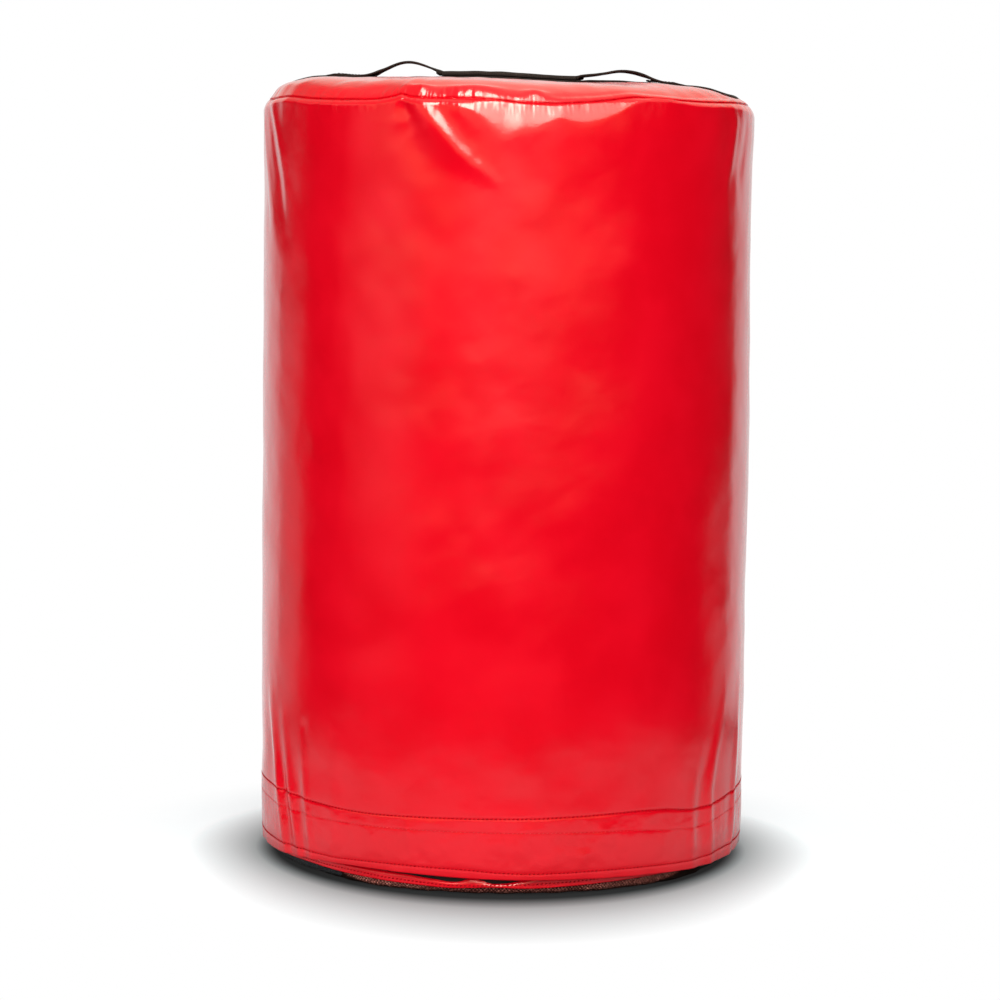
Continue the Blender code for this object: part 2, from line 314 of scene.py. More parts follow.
# A painted shadow in the floor's colour and glow: narrow beside the base and about twice as long in front of
# it
from_base = (away - 0.218 - in_front * 0.017) / (in_front * 1.1 + 1)
painted_contact_shadow = from_base.between(0, 0.020, 0, 1, smooth=False).maths("POWER", 1.3) * 0.36 + 0.03
painted_contact_shadow = painted_contact_shadow + from_base.between(0.020, 0.085, 0, 0.61, smooth=False)
path, glossy = paint.ray("Camera"), paint.ray("Glossy")
near = away.between(0.62, 0.92, 1, 0)
bounced = near * 0.55 + 0.02
tone = painted_contact_shadow * (path * 1.25 + bounced * (1 - path))
# A little less red, because the bag throws its own red back on the floor
grey = paint.vector(tone * 0.83, tone * 0.99, tone)
matte = paint.node("BsdfDiffuse", {}, {"Color": grey})
downwards = paint.node("VectorMath", {"operation": "ADD"}, {0: spot, 1: (0, 0, -0.06)})
behind_floor = sweep_in_gloss(paint, downwards)
# The same painted shadow darkens the floor where the bag sees it in its gloss
mirrored_floor = behind_floor.maths("MAXIMUM", near * 0.75) * painted_contact_shadow * glossy
glow_level = (painted_contact_shadow * path).maths("MAXIMUM", mirrored_floor)
glow = paint.node("Emission", {}, {"Color": (1, 1, 1, 1), "Strength": glow_level})
fade = (away.between(0.28, 0.42, 0.60, 1) * path).maths("MAXIMUM", glossy)
mixed = paint.node("MixShader", {}, {0: fade, 1: matte, 2: glow})
paint.end_in(mixed)
floor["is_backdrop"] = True
print("floor:", FLOOR_RADIUS, "m round the bag")

# %% [markdown]
# ## Lines and waves
# The bag's forms are drawn as lines through a few measured points: how far the wall swells at
# each height, and how high the seam runs at each angle. `line_through` draws such a line
# without corners. Angles are in degrees from the bag's plain face, towards +X, and lengths in
# these tables are in millimetres, as on a pattern.


# %% Smooth lines through measured points
def line_through(at, points, round_it=False):
    """A smooth line through (place, value) points, read at places along it."""
    x, y = np.array(sorted(points), float).T
    if round_it:
        x = np.concatenate([x[-3:] - 360, x, x[:3] + 360])
        y = np.concatenate([y[-3:], y, y[:3]])
    slope = np.gradient(y, x)
    at = np.clip(np.asarray(at, float), x[0], x[-1])
    i = np.clip(np.searchsorted(x, at) - 1, 0, len(x) - 2)
    step = x[i + 1] - x[i]
    t = (at - x[i]) / step
    start = y[i] * (1 + 2 * t) * (1 - t) ** 2 + y[i + 1] * t * t * (3 - 2 * t)
    return start + step * (slope[i] * t * (1 - t) ** 2 - slope[i + 1] * t * t * (1 - t))


def by_angle(angle, table):
    """A table that goes right round the bag, read at angles. The tables run from -80 to 280 degrees."""
    return line_through((np.asarray(angle, float) + 80) % 360 - 80, table, True)


def all_round(count):
    """So many angles, in equal steps from the plain face right round the bag."""
    return np.arange(count) * 360 / count


def smooth_step(x, low, high):
    t = np.clip((x - low) / (high - low), 0, 1)
    return t * t * (3 - 2 * t)


def unit(vectors):
    """The same directions, each 1 long."""
    return vectors / np.linalg.norm(vectors, axis=-1, keepdims=True)


def run_along(points):
    """How far along a line each of its points lies."""
    return np.concatenate([[0], np.cumsum(np.linalg.norm(np.diff(points, axis=0), axis=1))])


def ripples(seed, shortest, longest, count=40):
    """Soft random waves round the bag, as a function of the angle in degrees and a height in mm."""
    chance = np.random.default_rng(seed)
    length = np.exp(chance.uniform(np.log(shortest), np.log(longest), count))
    heading = chance.uniform(0, np.pi, count)
    turns = np.round(2 * np.pi * RADIUS / length * np.cos(heading))
    rise = 2 * np.pi * np.sin(heading) / length
    start = chance.uniform(0, 2 * np.pi, count)
    size = length / length.max()

    def waves(angle, height):
        total = np.zeros(np.broadcast(angle, height).shape)
        for n, k, p, a in zip(turns, rise, start, size):
            total += a * np.sin(np.radians(angle) * n + height * k + p)
        return total / np.sqrt((size**2).sum() / 2)

    return waves


RADIUS = 230.0
print("a line through 0, 1, 0 read halfway:", line_through([0.5], [(0, 0), (1, 1), (2, 0)]))

# %% [markdown]
# ## Skins
# Each sheet of the bag is a closed skin: an outer face, an inner face and the edges between
# them. It is drawn as loops of points, each joined to the next, and the last to the first. The
# inner face is hardly seen, so its loops may have fewer points, and fans of triangles join the
# two kinds.


# %% A skin from loops of points
def joined(first, n, second, m):
    """Faces between a loop of n points and one of m, which are equal, or one a multiple."""
    if n < m:
        return [face[::-1] for face in joined(second, m, first, n)]
    if m == 1:
        return [(first + i, first + (i + 1) % n, second) for i in range(n)]
    if n == m:
        ends = [(i, (i + 1) % n) for i in range(n)]
        return [(first + i, first + j, second + j, second + i) for i, j in ends]
    times, faces = n // m, []
    half = (times + 1) // 2
    for j in range(m):
        here, after = second + j, second + (j + 1) % m
        for i in range(times):
            a, b = first + j * times + i, first + (j * times + i + 1) % n
            faces.append((a, b, here if i < half else after))
        faces.append((first + j * times + half, after, here))
    return faces


def skin(name, loops, ring=True):
    """An object from loops of points in metres, closed into a ring or by its own ends."""
    loops = [np.asarray(loop, float).reshape(-1, 3) for loop in loops]
    starts = np.cumsum([0] + [len(loop) for loop in loops])
    pairs = list(zip(range(len(loops)), range(1, len(loops)))) + ([(len(loops) - 1, 0)] if ring else [])
    faces = []
    for i, j in pairs:
        faces += joined(int(starts[i]), len(loops[i]), int(starts[j]), len(loops[j]))
    return closed(name, np.concatenate(loops), faces)


def closed(name, points, faces):
    """An object from points in metres and the faces that close it, which are turned outwards."""
    mesh = bpy.data.meshes.new(name)
    mesh.from_pydata(points.tolist(), [], faces)
    mesh.validate()
    work = bmesh.new()
    work.from_mesh(mesh)
    if work.calc_volume(signed=True) < 0:
        bmesh.ops.reverse_faces(work, faces=work.faces)
    work.to_mesh(mesh)
    work.free()
    mesh.shade_smooth()
    return in_scene(name, mesh)


def keep_values(piece, name, kind, values):
    """Keeps a value at each point of a piece, for its finish to read."""
    kept = piece.data.attributes.new(name, kind, "POINT").data
    kept.foreach_set("vector" if "VECTOR" in kind else "value", np.ravel(values).astype(np.float32))


def around(angle, radius, height):
    """Points in metres at angles in degrees from the plain face, with radius and height in mm."""
    turn = np.radians(angle)
    angle, radius, height = np.broadcast_arrays(turn, radius, height)
    return np.stack([radius * np.sin(angle), -radius * np.cos(angle), height], -1) * MM


print("skins are drawn from loops of points")

# %% [markdown]
# ## The wall's form
# The wall is one sheet of coated fabric, 0.8 mm thick, pulled round the fill. Its measured
# radius changes by a few millimetres with the height: drawn in at the seam, full at the
# shoulder and above the closure, and slack between. The left side and the right side differ.

# %% Radius by height, and the heights of its seams by angle
HEM, HEM_ROW, FAINT_ROW, TOP_ROW, SEAM = 16.5, 23.0, 60.0, 73.0, 716.7
MEAN_RADIUS = [
    (10, 230.6), (20, 231.4), (45, 232.3), (60, 232.2), (76, 232.0), (92, 231.8), (107, 231.8),
    (122, 232.0), (140, 232.3), (185, 232.5), (247, 232.5), (309, 232.6), (340, 232.8), (386, 232.6),
    (416, 232.7), (447, 232.4), (478, 232.1), (508, 231.9), (570, 231.8), (600, 231.7), (660, 232.0),
    (690, 232.7), (722, 232.7),
]
SIDE_LEAN = [
    (10, 0.3), (45, 0.5), (76, 0.2), (107, 0.8), (140, 0.7), (185, 0.4), (247, 0.4), (340, 0.1),
    (386, 0.4), (416, 0.3), (447, 0), (478, -0.4), (508, -0.9), (570, -1), (620, -0.5), (660, -0.4),
    (690, -0.2), (705, -0.5), (722, -1),
]
SEAM_HEIGHTS = [
    (-66, 717.2), (-54, 719.2), (-43, 717.1), (-30, 716.3), (-20.5, 717.7), (-17.8, 719.6),
    (-16.1, 721.4), (-14.4, 719.3), (-10.5, 718.0), (-2.5, 717.6), (6.7, 716.2), (13, 713.9),
    (22, 714.6), (32, 717.8), (38, 720.7), (44, 720.0), (57, 718.2), (78, 718.2), (92, 717),
    (120, 715.8), (150, 717.6), (180, 716.6), (206, 715.8), (236, 717.8), (262, 716.4), (280, 717),
]
TOP_ROW_HEIGHTS = [
    (-66, 74), (-51, 72.7), (-38, 70.2), (-25, 68.7), (-10, 70.2), (4, 71.4), (16, 71.8), (27, 72.8),
    (37, 73.4), (43, 73.4), (49, 72), (60, 66.9), (66, 67.1), (79, 71.6), (90, 73), (130, 74),
    (180, 72.5), (230, 73.5), (270, 72.4),
]
FAINT_ROW_HEIGHTS = [
    (-80, 60), (-40, 57), (9, 58.9), (40, 56), (53, 51.5), (61, 49.5), (68, 51.5), (83, 57.5),
    (140, 60), (200, 59), (250, 60),
]
HEM_ROW_HEIGHTS = [
    (-61, 23), (-43, 23), (-31, 22.8), (-25, 24), (-9, 24.8), (3, 23.8), (8, 22.2), (16, 21.2),
    (33, 21.8), (46, 20.9), (60, 19), (75, 21.5), (95, 22), (140, 23.4), (190, 22.6), (240, 23.4),
    (280, 22.8),
]
HEM_HEIGHTS = [
    (-74, 13.2), (-66, 13), (-58, 13.2), (-50, 14.4), (-43, 15.6), (-30, 18), (-12, 18), (0, 16.9),
    (10, 16), (18, 15.4), (33, 14.6), (46, 13.2), (60, 11.2), (76, 11.4), (92, 13), (120, 15.8),
    (180, 16.4), (240, 16), (280, 16),
]
LEVELS = [
    (HEM, HEM_HEIGHTS),
    (HEM_ROW, HEM_ROW_HEIGHTS),
    (FAINT_ROW, FAINT_ROW_HEIGHTS),
    (TOP_ROW, TOP_ROW_HEIGHTS),
    (SEAM, SEAM_HEIGHTS),
]


def true_height(angle, level):
    """The real height of a level of the pattern at an angle, as the rows and edges wander."""
    angle, level = np.broadcast_arrays(np.asarray(angle, float), np.asarray(level, float))
    shift = [by_angle(angle, table) - base for base, table in LEVELS]
    total = np.zeros(angle.shape)
    bases = [base for base, _ in LEVELS]
    for i, base in enumerate(bases):
        below = bases[i - 1] if i else base - 1
        above = bases[i + 1] if i + 1 < len(bases) else base + 1
        weight = np.clip(np.minimum((level - below) / (base - below), (above - level) / (above - base)), 0, 1)
        if i == 0:
            weight = np.where(level <= base, 1, weight)
        if i == len(bases) - 1:
            weight = np.where(level >= base, 1, weight)
        total += weight * shift[i]
    return level + total


seam_at = [round(true_height(angle, SEAM).item(), 1) for angle in (-16.1, 13)]
print("the seam runs from", seam_at[0], "down to", seam_at[1], "mm")

# %% [markdown]
# ## Folds in the wall
# A fold in a coated sheet is a long soft ridge. Each is laid along a path on the wall, with its
# own height and width at every point of the path, and dies away at both ends. Most start where
# the sheet is caught: at the tuck in the seam, at the shoulders and along the hem.

# %% Ridges and hollows along paths
# The crease that runs down from the tuck in the seam, steeper on its right side
CREASE = [
    (-14.2, 719, 0.9, 6), (-10.9, 710, 2.9, 7.5), (-7.9, 697, 3.3, 7), (-5.3, 685, 3.0, 6.5),
    (-2.4, 672, 2.7, 6), (0.8, 661, 2.1, 5), (4.0, 652, 1.2, 4.5), (6.5, 645, 0, 4),
]
FOLDS = [
    # (angle, height, rise, half width) along each fold
    # The hollows beside the crease
    [(-16.0, 719, -0.8, 5), (-14.4, 707, -2.6, 7), (-13, 696, -1.8, 8), (-11.5, 684, -0.6, 9),
     (-10, 674, 0, 9)],
    [(-17, 700, 0, 8), (-14.4, 686, -0.7, 11), (-11.2, 672, -0.9, 13), (-10.8, 655, -0.4, 13),
     (-12, 640, 0, 12)],
    [(-4.5, 712, 0.3, 5), (-1.5, 704, 0.5, 6), (1, 694, 0.3, 7), (4, 684, 0, 7)],
    # Folds at the left shoulder
    [(-73, 716, 0, 8), (-70, 690, 1.1, 8), (-66, 655, 1.3, 10), (-62, 610, 1.0, 11), (-60, 565, 0, 12)],
    [(-67, 716, -0.4, 6), (-62, 690, -1.2, 8), (-57, 645, -1.2, 9), (-53, 595, -0.6, 10),
     (-52, 560, 0, 10)],
    [(-63, 716, 0.4, 6), (-59.5, 692, 1.1, 7), (-56, 668, 1.1, 8), (-53.5, 636, 0.9, 9),
     (-52.5, 605, 0.4, 10), (-54, 580, 0, 10)],
    # Folds at the right shoulder
    [(71, 716, 0.3, 6), (73, 700, 0.8, 7), (71, 672, 0.9, 8), (68, 640, 0.7, 9), (71, 600, 0, 9)],
    [(82, 715, 0, 7), (80, 690, -0.8, 9), (77, 655, -0.8, 10), (78, 600, 0, 12)],
    # Pleats above the hem on the left
    [(-63, 190, 0, 9), (-60.5, 150, 1.0, 8), (-57.2, 110, 1.8, 7), (-54.4, 72, 2.3, 6.5),
     (-52.5, 40, 2.4, 6), (-51.5, 14, 1.8, 6)],
    [(-58, 190, 0, 15), (-58, 140, 0.8, 14), (-57, 100, 1.4, 13), (-56, 60, 1.6, 12), (-55, 14, 1.3, 12)],
    [(-58, 140, 0, 8), (-55.5, 105, -1.0, 7), (-52.4, 70, -1.6, 6), (-50.5, 40, -1.7, 5.5),
     (-49.5, 14, -1.2, 5)],
    [(-54, 170, 0, 8), (-52.6, 135, 0.9, 7), (-50.8, 100, 1.5, 6), (-49, 68, 1.9, 5.5),
     (-46.8, 40, 1.9, 5), (-45.2, 14, 1.3, 5)],
    [(-47, 110, 0, 7), (-46, 80, -1.0, 6), (-44.6, 50, -1.4, 6), (-43.6, 14, -1.0, 6)],
    [(-45.4, 135, 0, 6), (-44, 108, 0.8, 6), (-42.9, 78, 1.3, 5), (-41.6, 48, 1.4, 4.5),
     (-40.4, 14, 1.0, 4.5)],
    # Faint upright ones beside them
    [(-34, 130, 0, 9), (-33.6, 90, 0.5, 8), (-32.8, 45, 0.6, 8), (-32, 14, 0.3, 8)],
    [(-13, 76, 0, 7), (-12.4, 56, 0.6, 6), (-11.6, 30, 0.5, 6), (-11, 12, 0.2, 6)],
    # Pleats above the hem on the right
    [(73, 190, 0, 9), (71, 150, 0.9, 8), (67.5, 115, 1.6, 7), (65.6, 80, 1.9, 6), (66, 50, 1.9, 6),
     (67, 10, 1.4, 6)],
    [(66, 130, 0, 8), (62.5, 95, -1.1, 7), (61.6, 60, -1.3, 7), (62.6, 10, -1.0, 7)],
    [(84, 200, 0, 9), (82, 150, 1.0, 9), (81, 100, 1.6, 8), (79.4, 55, 1.9, 7), (78, 10, 1.2, 7)],
    [(60, 110, 0, 7), (58.6, 75, 0.7, 6), (58.6, 40, 1.1, 5.5), (59.5, 10, 0.9, 5.5)],
    # Small ones on the face
    [(4.4, 650, 0, 5), (5.9, 643.5, 0.5, 5), (8, 641, 0, 5)],
    [(9.5, 575, 0, 6), (10.6, 560, 0.4, 6), (11.4, 543, 0, 6)],
    [(-45.5, 145, 0, 6), (-43.3, 137.5, -0.7, 6), (-41.4, 134, 0, 6)],
    # Round the back
    [(150, 716, 0.2, 8), (153, 690, 1.1, 9), (158, 655, 1.0, 11), (163, 610, 0, 12)],
    [(196, 716, 0.2, 7), (194, 694, 1.2, 8), (190.5, 660, 1.0, 10), (188, 620, 0, 10)],
    [(222, 716, 0.2, 8), (219, 685, 0.9, 10), (213, 640, 0.7, 12), (209, 590, 0, 12)],
    [(118, 180, 0, 9), (119.5, 130, 1.2, 9), (121, 80, 1.7, 8), (122, 14, 1.2, 7)],
    [(128, 150, 0, 9), (127.5, 100, -1.0, 8), (127, 60, -1.4, 8), (127, 14, -1.0, 8)],
    [(166, 150, 0, 9), (168, 100, 1.1, 8), (169.5, 55, 1.5, 7), (170, 14, 1.0, 7)],
    [(206, 170, 0, 9), (204.5, 120, 1.2, 8), (202.5, 70, 1.7, 7), (201.5, 14, 1.2, 7)],
    [(238, 190, 0, 10), (240, 140, 1.0, 9), (243, 85, 1.5, 8), (244, 14, 1.1, 7)],
    [(264, 160, 0, 9), (262, 115, 1.0, 8), (261, 65, 1.4, 7), (260, 14, 1.0, 7)],
]


def arc(angle):
    """An angle as a length round the wall in mm, from the plain face."""
    return np.radians((np.asarray(angle, float) + 180) % 360 - 180) * RADIUS


def folded(angle, height, fold, left=1.0):
    """How far a fold lifts the wall at each point. A left of 2 makes its left side twice as wide."""
    fold = np.array(fold, float)
    centre = fold[:, 0].mean()
    across = arc(angle - centre)
    best, lift = np.full(across.shape, np.inf), np.zeros(across.shape)
    for (a0, h0, rise0, wide0), (a1, h1, rise1, wide1) in zip(fold, fold[1:]):
        x0, x1 = arc(a0 - centre), arc(a1 - centre)
        dx, dy = x1 - x0, h1 - h0
        t = np.clip(((across - x0) * dx + (height - h0) * dy) / (dx * dx + dy * dy), 0, 1)
        off = np.hypot(across - x0 - t * dx, height - h0 - t * dy)
        wide = (wide0 + (wide1 - wide0) * t) * np.where(across < x0 + t * dx, left, 1)
        ease = t * t * (3 - 2 * t)
        value = (rise0 + (rise1 - rise0) * ease) * np.exp(-((off / wide) ** 2))
        lift = np.where(off / wide < best, value, lift)
        best = np.minimum(best, off / wide)
    return lift


print(len(FOLDS), "folds")

# %% [markdown]
# ## The wall
# The form so far, plus what a close look adds: the broad dent under the seam that catches the
# light, puckers where the seam gathers the sheet, a shallow groove along each row of stitches,
# and the soft unevenness of foam under cloth. At the back the sheet's two ends overlap in a
# sewn lap.

# %% The wall's radius anywhere
# Where the shoulder starts to lean in under the seam, as (angle, height)
SHOULDER_STARTS = [
    (-74, 706), (-60, 711), (-40, 712), (-16, 711.5), (-5, 711), (-1.7, 710), (2.4, 702), (5.5, 690),
    (7.6, 683), (9.5, 686), (12, 691), (15, 693), (17.6, 699), (20, 703), (22.5, 699), (29, 698),
    (33, 703), (37, 710), (60, 712), (72, 711), (84, 707), (130, 705), (200, 706), (260, 705),
]
SHOULDER_IN, SHOULDER_LEVEL = 5.5, 706
SHEET, STITCH_PITCH, ROW_WIDTH = 0.8, 3.9, 1.3
FILL_LUMPS, SHEET_LUMPS = 0.35, 0.10
LAP_AT, LAP_HALF, LAP_FADE = 180.0, 3.74, 3.5
soft_fill = ripples(11, 90, 260)
soft_sheet = ripples(12, 30, 80)
gathers = ripples(13, 14, 34, 60)
DENTS = [
    # (angle, height, half width, half height, depth)
    (33, 630, 60, 60, -0.5),
    (-33, 560, 70, 80, -0.5),
    (12, 90, 24, 18, -0.7),
    (32.8, 55, 11, 10, 0.9),
    (29, 36, 12, 5, 0.6),
    (24, 46, 14, 7, -0.5),
    (-6, 64, 14, 5, 0.4),
    (-20, 50, 12, 7, 0.5),
    (17, 62, 9, 5, 0.4),
    (45, 66, 10, 6, 0.6),
    (48, 110, 36, 30, -0.6),
    (-20, 100, 40, 26, 0.6),
]


def wall_radius(angle, level):
    height = true_height(angle, level)
    view = np.radians(angle - VIEW_TURN)
    radius = line_through(level, MEAN_RADIUS) + line_through(level, SIDE_LEAN) * np.sin(view)
    start = by_angle(angle, SHOULDER_STARTS)
    early = np.clip((SHOULDER_LEVEL - start) / 18, 0, 1)
    radius = radius - SHOULDER_IN * np.clip((level - start) / (SEAM - start), 0, 1.02) ** (1.8 - 0.6 * early)
    held = smooth_step(level, HEM, 120) * smooth_step(SEAM - level, 0, 60)
    radius = radius + soft_fill(angle, height) * FILL_LUMPS * held
    radius = radius + soft_sheet(angle, height) * SHEET_LUMPS * (0.4 + 0.6 * held)
    radius = radius + folded(angle, height, CREASE, 2.3)
    for fold in FOLDS:
        radius = radius + folded(angle, height, fold)
    for at, up, wide, tall, depth in DENTS:
        radius = radius + depth * np.exp(-((arc(angle - at) / wide) ** 2) - ((height - up) / tall) ** 2)
    under_seam = SEAM - level
    radius = radius + gathers(angle, height * 0.25) * 0.30 * np.exp(-under_seam / 16) * (under_seam > -1)
    over_hem = level - HEM
    radius = radius + gathers(angle + 40, height * 0.3) * 0.22 * np.exp(-over_hem / 14)
    for row, depth in ((HEM_ROW, 0.35), (TOP_ROW, 0.35), (FAINT_ROW, 0.15)):
        radius = radius - depth * np.exp(-(((level - row) / ROW_WIDTH) ** 2))
    lap = (np.asarray(angle, float) - LAP_AT + 180) % 360 - 180
    raised = smooth_step(lap, -LAP_HALF - LAP_FADE, -LAP_HALF)
    raised = raised * (1 - smooth_step(lap, LAP_HALF - 0.4, LAP_HALF + 0.4))
    return radius + SHEET * raised


def spans(*stretches):
    """Levels from each (start, end, step), in one rising list."""
    levels = [np.linspace(a, b, max(2, round((b - a) / step) + 1)) for a, b, step in stretches]
    return np.unique(np.concatenate(levels))


front_radius = wall_radius(np.array(0.0), np.array(360.0)).item()
print("wall radius on the plain face at mid height:", round(front_radius, 2), "mm")

# %% The wall as a skin
COLUMNS, INNER_COLUMNS = 480, 160
HEM_TOP = 75.0
fine, coarse = all_round(COLUMNS), all_round(INNER_COLUMNS)
# Rows stand close together along the edges and the rows of stitches
low_rows = (HEM, 30, 1.1), (30, 56, 3.5), (56, 64, 1), (64, 70, 2), (70, 76, 0.75)
high_rows = (76, 100, 4), (100, 640, 5.4), (640, 700, 3), (700, SEAM, 1.1)
rows = spans(*low_rows, *high_rows)


def groove(level):
    """How far the seam pulls in the wall's upper edge."""
    return 0.9 * smooth_step(level, SEAM - 1.7, SEAM - 0.1)


def wall_loop(angles, level, inward=0.0, lift=0.0):
    inward = inward + groove(level)
    return around(angles, wall_radius(angles, level) - inward, true_height(angles, level) + lift)


loops = [wall_loop(fine, level) for level in rows]
loops += [wall_loop(fine, SEAM, 0.25, 0.3), wall_loop(coarse, SEAM, 0.6, 0.3)]
inner_rows = spans((HEM, HEM_TOP, 4.5), (HEM_TOP, 120, 9), (120, 690, 15), (690, SEAM, 3))[::-1]
loops += [wall_loop(coarse, level, SHEET) for level in inner_rows if level > HEM_TOP]
loops += [wall_loop(coarse, HEM_TOP + 0.4, SHEET + 0.2)]
loops += [wall_loop(coarse, level, 2 * SHEET) for level in inner_rows if level <= HEM_TOP]
loops += [wall_loop(coarse, HEM, 1.35, -0.4), wall_loop(coarse, HEM, 0.8, -0.6)]
loops += [wall_loop(fine, HEM, 0.2, -0.4)]
cover_wall = skin("cover_wall", loops)
# Only the outer face has levels, by which the finish finds its rows of stitches
NO_LEVEL = -100
wall_levels = np.full(len(cover_wall.data.vertices), NO_LEVEL, np.float32)
wall_levels[: COLUMNS * len(rows)] = np.repeat(rows, COLUMNS)
keep_values(cover_wall, "level", "FLOAT", wall_levels)
print("wall:", len(cover_wall.data.polygons), "faces")

# %% [markdown]
# ## The red sheet's finish
# Coated fabric is a woven cloth under a coat of soft plastic. Its colour is even and deep, and
# its gloss does the rest. The cloth below shows faintly through the coat as a fine grain, so
# the reflections break up a little at their edges.


# %% The finish of the red coated sheet
def new_material(name):
    made = bpy.data.materials.new(name)
    made.use_nodes = True
    return made, Finish(made.node_tree)


def dress(paint, **looks):
    """Sets the shader's sockets, named with _ for a space."""
    shader = paint.tree.nodes["Principled BSDF"]
    for name, value in looks.items():
        paint.feed(shader.inputs[name.replace("_", " ")], value)


def round_the_bag(paint):
    """The length round the wall and the height, in metres."""
    x, y, z = paint.place().parts()
    return x.maths("ARCTAN2", y * -1) * (RADIUS * MM), z


def bump(paint, height, depth, strength=1.0, below=None):
    """Relief of a depth in metres from a height between 0 and 1."""
    sockets = {"Height": height, "Distance": depth, "Strength": strength}
    if below is not None:
        sockets["Normal"] = below
    return paint.node("Bump", {}, sockets)


def red_sheet_finish(name, roughness=0.15):
    made, paint = new_material(name)
    along, up = round_the_bag(paint)
    where = paint.place()
    level = paint.node("Attribute", {"attribute_name": "level"}, {}, "Fac")
    near_seam = level.near(SEAM, 0, 15)
    threads = paint.vector(along * 0.55, 0.0, up)
    grain = paint.noise(threads, 900, 2, 0.6)
    cloud = paint.noise(where, 16, 3)
    # A row of stitches draws the sheet in. In that groove the sheet is matt, and painted a little darker as
    # painted shade, and so is the seam's groove
    beat = along.sine(STITCH_PITCH * MM) * 0.25 + 0.75
    rows = level.near(TOP_ROW, 0.5, 1.5, 0.75).maths("MAXIMUM", level.near(HEM_ROW, 0.4, 1.3, 0.6))
    rows = rows.maths("MAXIMUM", level.near(FAINT_ROW, 0.3, 1.0, 0.35)) * beat
    rows = rows.maths("MAXIMUM", level.near(SEAM, 0.5, 1.3, 0.95) * (beat * 0.5 + 0.5))
    red = paint.mix(cloud.between(0.3, 0.7), (0.80, 0.0012, 0.0105), (0.86, 0.0018, 0.0135))
    gathered = paint.vector(along, 0.0, up * 0.25)
    # The seam gathers the sheet most at the front, where it is pulled tight
    _, nearer, _ = where.parts()
    near_seam = near_seam * (nearer * -1).between(0.15, 0.22, 0.25, 1)
    in_hem = level.between(HEM_ROW, HEM_ROW + 8) * level.between(TOP_ROW - 6, TOP_ROW + 2, 1, 0)
    relief = bump(paint, (paint.noise(gathered, 170, 1) - 0.5) * near_seam, 0.0016)
    relief = bump(paint, (paint.noise(where, 45, 2) - 0.5) * in_hem, 0.0014, below=relief)
    relief = bump(paint, paint.noise(where, 22, 2, 0.45), 0.0007, below=relief)
    relief = bump(paint, paint.noise(where, 120, 1), 0.00007, below=relief)
    relief = bump(paint, grain, 0.00008, below=relief)
    rough = cloud.between(0.25, 0.75, roughness - 0.02, roughness + 0.03)
    dress(paint, Base_Color=red, Roughness=rough, Normal=relief)
    # Painted shade of the grooves: a darker red without gloss
    matt_painted_shade = paint.node("BsdfDiffuse", {}, {"Color": (0.60, 0.0008, 0.007, 1)})
    gloss = Value(paint, paint.tree.nodes["Principled BSDF"].outputs[0])
    paint.end_in(paint.node("MixShader", {}, {0: rows, 1: gloss, 2: matt_painted_shade}))
    return made


red_sheet = red_sheet_finish("red_sheet")


def finished(piece, material, body, instead_of=()):
    """Gives a piece its finish, the body that it moves with and the nodes that it stands for."""
    piece.data.materials.append(material)
    if body:
        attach(piece, body)
    if instead_of:
        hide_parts(*instead_of)
    return piece


finished(cover_wall, red_sheet, "cover", ["wall_panel"])
print("the wall is dressed")

# %% [markdown]
# ## The lid
# The lid is a disc of the same sheet over a soft pad, so it crowns: flat in the middle, round
# at the edge. Its edge is turned down inside the wall and sewn there. The seam follows the
# wall's uneven top, and the lid lips over it a little all round. From the camera it leans: its
# left shoulder stands a few millimetres higher than its right one.

# %% The lid's form
LIP_OUT, LIP_UP = -0.4, 0.5
# How far the lid has risen over its rim, as (distance from the rim, rise)
RISE_FROM_RIM = [
    (0, 0), (2, 2.3), (5, 5.1), (10, 8.8), (15, 11.4), (20, 13.4), (28, 15.8), (35, 17.2), (43, 18.4),
    (53, 19.4), (65, 20.2), (82, 20.7), (110, 21.2), (150, 22.0), (190, 22.8), (228, 23.5),
]
LEAN = [
    (-228, 3), (-217, 3.4), (-208, 3.4), (-198, 3), (-189, 3.2), (-179, 2.8), (-150, 0.7), (-102, 0.2),
    (-55, -0.2), (-7, -1.1), (41, -2.6), (60, -3), (89, -3.3), (118, -3), (137, -2.9), (156, -3.5),
    (175, -3), (185, -3.4), (204, -4), (213, -2.3), (228, -1),
]
BULGES = [
    # (angle, distance from the rim, half width, half depth, rise)
    (6, 3.2, 120, 3.2, 0.7),
    (0.5, 8, 30, 6, 4.0),
    (15, 8, 12, 5.5, 4.2),
    (-12, 7.5, 12, 4.5, 3.6),
    (-24, 9, 16, 6, -1.2),
    (34, 10, 30, 7, 0.8),
]


def flat_waves(seed, shortest, longest, count=24):
    """Soft random waves over a flat face, as a function of x and y in mm."""
    chance = np.random.default_rng(seed)
    length = chance.uniform(shortest, longest, count)
    heading, start = chance.uniform(0, 2 * np.pi, (2, count))

    def waves(x, y):
        x, y = np.broadcast_arrays(np.asarray(x, float), y)
        phase = (x[..., None] * np.cos(heading) + y[..., None] * np.sin(heading)) * 2 * np.pi / length
        return np.sin(phase + start).sum(-1) / np.sqrt(count / 2)

    return waves


pad_waves, sheet_waves = flat_waves(21, 90, 180), flat_waves(22, 22, 48)
rim_angles = np.arange(0, 360.5, 0.5)
rim_radii = wall_radius(rim_angles, SEAM) + LIP_OUT
rim_heights = true_height(rim_angles, SEAM) + LIP_UP


def lid_rim(angle):
    """The radius and height of the lid's lip at an angle."""
    angle = np.asarray(angle, float) % 360
    return np.interp(angle, rim_angles, rim_radii), np.interp(angle, rim_angles, rim_heights)


